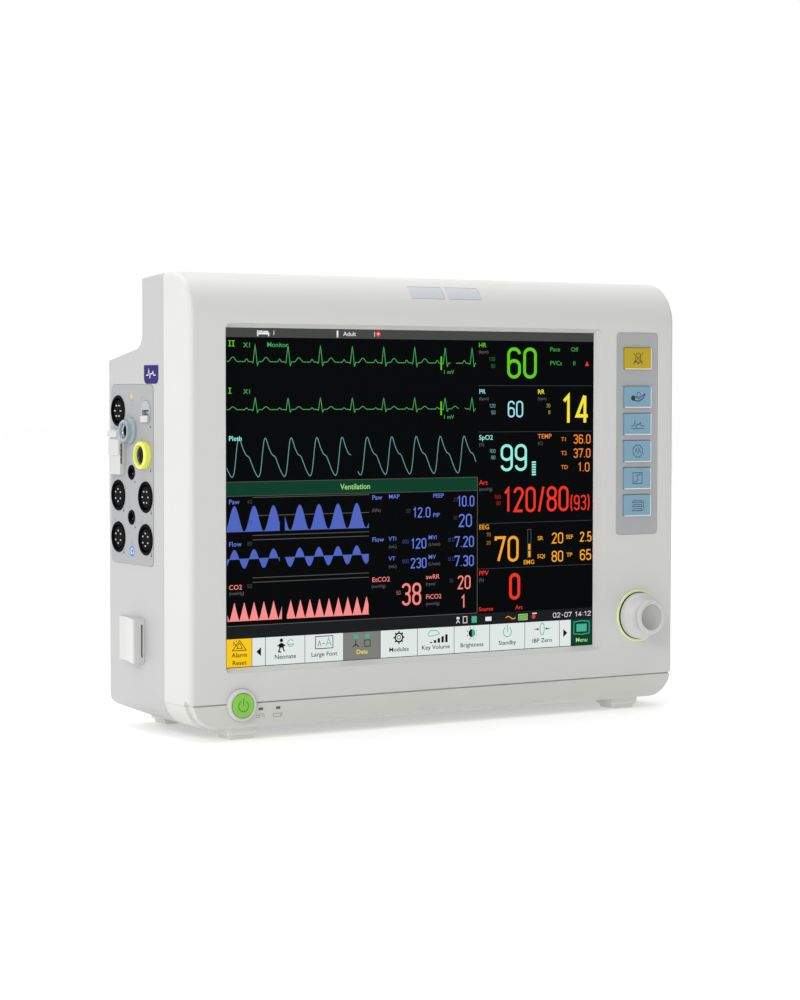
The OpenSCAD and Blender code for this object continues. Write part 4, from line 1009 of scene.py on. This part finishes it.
def pins(node, centre):
    """Contacts of one round socket: three pairs of bars, or six round pins in a ring."""
    verts, faces = [], []

    def bar(y, z, w, h):
        base = len(verts)
        for x in (0.1, 0.75):
            verts.extend(centre + Vector((-x, dy, dz)) * MM for dy, dz in
                         ((y - w, z - h), (y + w, z - h), (y + w, z + h), (y - w, z + h)))
        faces.extend([(base + 4, base + 5, base + 6, base + 7), (base + 3, base + 2, base + 1, base)])
        faces.extend((base + k, base + (k + 1) % 4, base + 4 + (k + 1) % 4, base + 4 + k) for k in range(4))
    if node == "ecg_socket":
        for z, half in ((3.6, 2.1), (0, 4.4), (-3.6, 2.1)):
            for s in (-1, 1):
                bar(s * half, z, 1.25, 0.42)
    else:
        turn = 0 if node == "sensor_socket_2" else 30
        for k in range(6):
            a = math.radians(60 * k + turn)
            bar(4.3 * math.cos(a), 4.3 * math.sin(a), 0.85, 0.5)
    add_piece(node + "_pins", verts, faces, PIN_METAL, "case")


def port_pieces():
    c = middle("cuff_port")
    centre = Vector((LEFT_X, c.y, c.z))
    shape = [(5.0, -9), (9.2, -9), (9.2, 0.9)] + bend((7.9, 1.1), 1.25, 0, 60, 5) \
        + [(7.85, 2.9), (7.6, 3.4)] + bend((6.75, 5.55), 0.9, 0, 90, 6) \
        + [(5.9, 6.4), (5.3, 6.0), (5.0, 5.0), (5.0, -9)]
    piece = lathe("cuff_port_shell", centre, LEFT_OUT, shape, MATS["port_grey"], "case",
                  80, 30)
    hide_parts("cuff_port")
    lathe("cuff_port_liner", centre, LEFT_OUT,
          [(3.9, -8.6), (4.95, -8.6), (4.95, 4.6), (4.6, 4.8), (3.9, 4.0), (3.9, -8.6)],
          MATS["steel"], "case", 64, 30)
    lathe("cuff_port_floor", centre, LEFT_OUT,
          [(0.001, -8.9), (3.85, -8.9), (3.85, -4), (0.001, -4), (0.001, -8.9)],
          MATS["black_plastic"], "case", 48, 30)
    c = middle("gas_port")
    centre = Vector((LEFT_X, c.y, c.z))
    shape = [(6.45, -9), (9.4, -9), (9.4, 1.8)] + bend((8.1, 4.0), 1.3, -10, 80, 7) + [(7.9, 5.45)] \
        + bend((7.6, 5.0), 0.45, 90, 160, 4) + [(6.9, 3.9), (6.45, 3.0), (6.45, -9)]
    piece = lathe("gas_port_ring", centre, LEFT_OUT, shape, MATS["port_yellow"], "case",
                  80, 30)
    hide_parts("gas_port")
    lathe("gas_port_liner", centre, LEFT_OUT,
          [(5.3, -8.6), (6.4, -8.6), (6.4, 3.2), (5.9, 3.6), (5.3, 2.7), (5.3, -8.6)],
          PORT_DARK, "case", 64, 30)
    lathe("gas_port_core", centre, LEFT_OUT,
          [(0.001, -8.8), (5.2, -8.8), (5.2, -4), (3.0, -4), (2.8, 0.4), (2.0, 0.9),
           (0.001, 0.9), (0.001, -8.8)],
          PORT_DARK, "case", 48, 30)


def left_ink(node):
    """Print on the left wall, its origin at a node's middle; right on the print is to the front."""
    lo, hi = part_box(node)
    return Ink((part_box("module_panel")[0].x, (lo.y + hi.y) / 2, (lo.z + hi.z) / 2), (0, -1, 0), (0, 0, -1))


def panel_marks():
    dark = left_ink("module_panel")
    at = {n: middle(n) for n in (
        "module_panel", "ecg_socket", "sensor_socket_1", "sensor_socket_2", "sensor_socket_3",
        "sensor_socket_4", "temperature_jack_1", "temperature_jack_2", "oximeter_socket",
        "gas_port", "cuff_port", "cell_bracket")}
    zero = at["module_panel"]

    def spot(node, dy, dz):
        return (zero.y - at[node].y) / MM + dy, (zero.z - at[node].z) / MM + dz
    for n in ("sensor_socket_1", "sensor_socket_2", "sensor_socket_3", "sensor_socket_4", "gas_port"):
        x, y = spot(n, 8.4, 10.6)
        dark.disc(x, y, 0.85, 14)
        dark.rect(x - 0.7, y - 1.9, x + 0.7, y - 1.3)
    for n in ("temperature_jack_1", "temperature_jack_2"):
        x, y = spot(n, 5.2, 6.6)
        dark.disc(x, y, 0.8, 14)
    x, y = spot("oximeter_socket", 6.8, 10.5)
    dark.disc(x, y, 0.8, 14)
    dark.make("panel_dots", PRINT_DARK, "case", "panel_grey", 0.0, 0.02)
    grey = left_ink("module_panel")
    for n, dy, dz in (
            ("ecg_socket", -7.4, -11.6), ("sensor_socket_1", -7.2, -11.4),
            ("sensor_socket_2", -7.2, -11.4), ("sensor_socket_3", -7.2, -11.4),
            ("sensor_socket_4", -7.2, -11.4), ("gas_port", -6.6, -10.8),
            ("oximeter_socket", -7.2, -8.6), ("cuff_port", -5.2, -10.6),
            ("cell_bracket", -8.6, -17.4), ("temperature_jack_1", -4.8, -6.4),
            ("temperature_jack_2", -4.8, -6.4)):
        x, y = spot(n, dy, dz)
        for k in range(3):
            grey.line([(x + k * 1.3 - 0.5, y + 0.9 - k * 0.5),
                       (x + k * 1.3 + 0.4, y - 0.9 - k * 0.5)], 0.35)
    x, y = spot("temperature_jack_2", 0.4, 16.4)
    grey.line([(x - 1.7, y + 1.4), (x + 1.7, y + 1.4), (x, y - 1.6)], 0.4, True)
    x, y = spot("temperature_jack_1", 0.2, -47.4)
    grey.line([(x - 2.0, y - 1.8), (x + 2.0, y - 1.8), (x + 2.0, y + 1.8), (x - 2.0, y + 1.8)], 0.25, True)
    grey.make("panel_signs", PRINT_GREY, "case", "panel_grey", 0.0, 0.02)
    yellow = left_ink("module_panel")
    x, y = spot("temperature_jack_1", 0.2, -53.0)
    yellow.poly([(x - 2.4, y + 1.9), (x + 2.4, y + 1.9), (x, y - 2.3)])
    yellow.make("panel_triangle", PRINT_YELLOW, "case", "panel_grey", 0.0, 0.02)
    blue = left_ink("module_panel")
    x, y = spot("temperature_jack_2", 0.6, 23.4)
    blue.disc(x, y, 3.7, 40)
    blue.make("panel_disc", PRINT_BLUE, "case", "panel_grey", 0.0, 0.02)
    page = left_ink("module_panel")
    page.line(bend((x, y), 2.2, 120, 420, 20), 0.4)
    page.line([(x - 1.1, y - 1.2), (x - 1.1, y + 1.3), (x + 1.1, y + 1.3)], 0.4)
    page.make("panel_disc_sign", PRINT_AND_PAINTED_HIGHLIGHT_WHITE, "case", "panel_grey", 0.02, 0.02)


def oximeter_pieces():
    lo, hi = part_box("oximeter_socket")
    mid = Vector((LEFT_X, (lo.y + hi.y) / 2, hi.z - 6.8 * MM))
    ink = Ink((LEFT_X + 2.3 * MM, mid.y, mid.z), (0, -1, 0), (0, 0, -1))
    ink.rect(-5.0, -0.3, 5.0, 3.0)
    ink.make("oximeter_well", PRINT_DARK, "case", "socket_black", 0.0, 0.1)
    blades = Ink((LEFT_X + 2.2 * MM, mid.y, mid.z), (0, -1, 0), (0, 0, -1))
    for k in range(5):
        blades.rect(-4.3 + k * 1.9, 0.3, -3.3 + k * 1.9, 2.6)
    blades.make("oximeter_contacts", PIN_METAL, "case", "steel", 0.0, 1.6)
    sill = Ink((lo.x, mid.y, mid.z), (0, -1, 0), (0, 0, -1))
    sill.rect(-5.2, 3.6, 5.2, 7.8)
    sill.make("oximeter_sill", MATS["white_plastic"], "case", "white_plastic", 0.0, 0.15)


def bracket_pieces():
    lo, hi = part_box("cell_bracket")
    ink = Ink((LEFT_X - 1.9 * MM, lo.y + 2.4 * MM, (lo.z + hi.z) / 2), (-1, 0, 0), (0, 0, -1))
    for k in range(4):
        ink.rect(-0.9, -5.4 + k * 3.2, 0.9, -3.4 + k * 3.2)
    ink.make("bracket_contacts", PRINT_DARK, "case", "socket_black", 0.0, 0.15)


def tag():
    """Plain violet tag above the sensor panel, with a generic pulse sign."""
    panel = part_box("module_panel")
    top = panel[1].z
    y = panel[0].y + 5.0 * MM
    ink = Ink((LEFT_X, y, top), (0, -1, 0), (0, 0, -1))
    w = 10.6
    ink.poly([(-w, -11.2), (w, -11.2)] + bend((w - 4, -2.6), 4, 0, 90, 6)
             + bend((-w + 4, -2.6), 4, 90, 180, 6))
    ink.make("side_tag", TAG_VIOLET, "case", "case_rear", 0.0, 0.25)
    sign = Ink((LEFT_X, y, top), (0, -1, 0), (0, 0, -1))
    sign.line([(-7, -4.4), (-4.4, -4.4), (-3.2, -8.4), (-1.6, -2.4), (-0.4, -5.4), (2, -5.4),
               (3, -7), (4, -4.4), (7, -4.4)], 0.6)
    sign.make("side_tag_sign", PRINT_AND_PAINTED_HIGHLIGHT_WHITE, "case", "case_rear", 0.25, 0.03)


# ---- right wall and back --------------------------------------------------------------

def back_pieces():
    lo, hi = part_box("mains_inlet")
    c = (lo + hi) / 2
    blades = Ink((c.x, BACK_Y - 17 * MM, c.z), (-1, 0, 0), (0, 0, -1))
    for x, z in ((-7, 2), (7, 2), (0, -2)):
        blades.rect(x - 1.05, z - 2.05, x + 1.05, z + 2.05)
    blades.make("mains_blades", PIN_METAL, "case", "steel", 0.0, 13.1)
    plate = Ink((CASE_X, BACK_Y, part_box("housing_screws")[0].z), (-1, 0, 0), (0, 0, -1))
    plate.poly(bend((120, -22), 2, -90, 0, 5) + bend((120, 8), 2, 0, 90, 5)
               + bend((56, 8), 2, 90, 180, 5) + bend((56, -22), 2, 180, 270, 5))
    plate.make("rating_plate", MATS["sheet_metal"], "case", "sheet_metal", 0.0, 0.08)
    rules = Ink(plate.origin, (-1, 0, 0), (0, 0, -1))
    for k in range(5):
        rules.line([(60, -18 + k * 5.4), (112 - 9 * (k % 2), -18 + k * 5.4)], 0.35)
    rules.make("rating_plate_rules", PRINT_GREY, "case", "sheet_metal", 0.08, 0.02)


# ---- stage, light and camera ----------------------------------------------------------

def stage():
    mesh = bpy.data.meshes.new("floor")
    size, low = 14.0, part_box("front_feet")[0].z
    corners = [(-size, -size, low), (size, -size, low), (size, size, low), (-size, size, low)]
    mesh.from_pydata(corners, [], [(0, 1, 2, 3)])
    mesh.materials.append(finish("floor_paper", srgb(232, 232, 232), 0.8, 6.0, 0.05, 0.004,
                                 emit=0.38, specular=0.1))
    floor = bpy.data.objects.new("floor", mesh)
    bpy.context.scene.collection.objects.link(floor)


def area(name, place, aim, size, power, shape=1.0):
    data = bpy.data.lights.new(name, "AREA")
    data.shape = "RECTANGLE"
    data.size = size
    data.size_y = size * shape
    data.energy = power
    obj = bpy.data.objects.new(name, data)
    obj.location = place
    obj.rotation_euler = (Vector(aim) - Vector(place)).to_track_quat("-Z", "Y").to_euler()
    bpy.context.scene.collection.objects.link(obj)


def lights():
    world = bpy.data.worlds.new("studio")
    world.use_nodes = True
    tree = world.node_tree
    sky = tree.nodes["Background"]
    sky.inputs["Color"].default_value = (1, 1, 1, 1)
    # bright behind the object and to its left, dimmer in front of it and to its right
    ray = tree.nodes.new("ShaderNodeTexCoord")
    along = tree.nodes.new("ShaderNodeVectorMath")
    along.operation = "DOT_PRODUCT"
    along.inputs[1].default_value = (-0.4, 0.8, 0.45)
    level = tree.nodes.new("ShaderNodeMapRange")
    level.inputs["From Min"].default_value = -0.7
    level.inputs["From Max"].default_value = 0.34
    level.inputs["To Min"].default_value = 0.08
    level.inputs["To Max"].default_value = 1.02
    tree.links.new(ray.outputs["Generated"], along.inputs[0])
    tree.links.new(along.outputs["Value"], level.inputs["Value"])
    tree.links.new(level.outputs["Result"], sky.inputs["Strength"])
    bpy.context.scene.world = world
    aim = (0, 0, 0.16)
    area("key_left", (-1.6, -1.3, 1.1), aim, 0.6, 13)
    area("top", (0.0, 0.3, 2.2), aim, 1.6, 21)


def camera():
    data = bpy.data.cameras.new("camera")
    data.sensor_width = 36
    data.lens = 92.04
    data.clip_start = 0.05
    data.clip_end = 60
    cam = bpy.data.objects.new("camera", data)
    bpy.context.scene.collection.objects.link(cam)
    # 1.79 m in front of the case, to its left, a little above its middle
    cam.location = (CASE_X - 0.98265, FACE_Y - 1.5006, 0.236)
    cam.rotation_euler = (math.radians(90 - 2.49), math.radians(-0.076), math.radians(-32.18))
    bpy.context.scene.camera = cam


camera()
paint_cad()
draw_bars()
draw_traces()
draw_breaths()
draw_readings()
draw_soft_keys()
draw_status_icons()
lay_words()
key_icons()
knob_pieces()
power_pieces()
fascia_icons()
socket_pieces()
port_pieces()
panel_marks()
oximeter_pieces()
bracket_pieces()
tag()
back_pieces()
stage()
lights()
bpy.context.scene.view_settings.view_transform = "Standard"
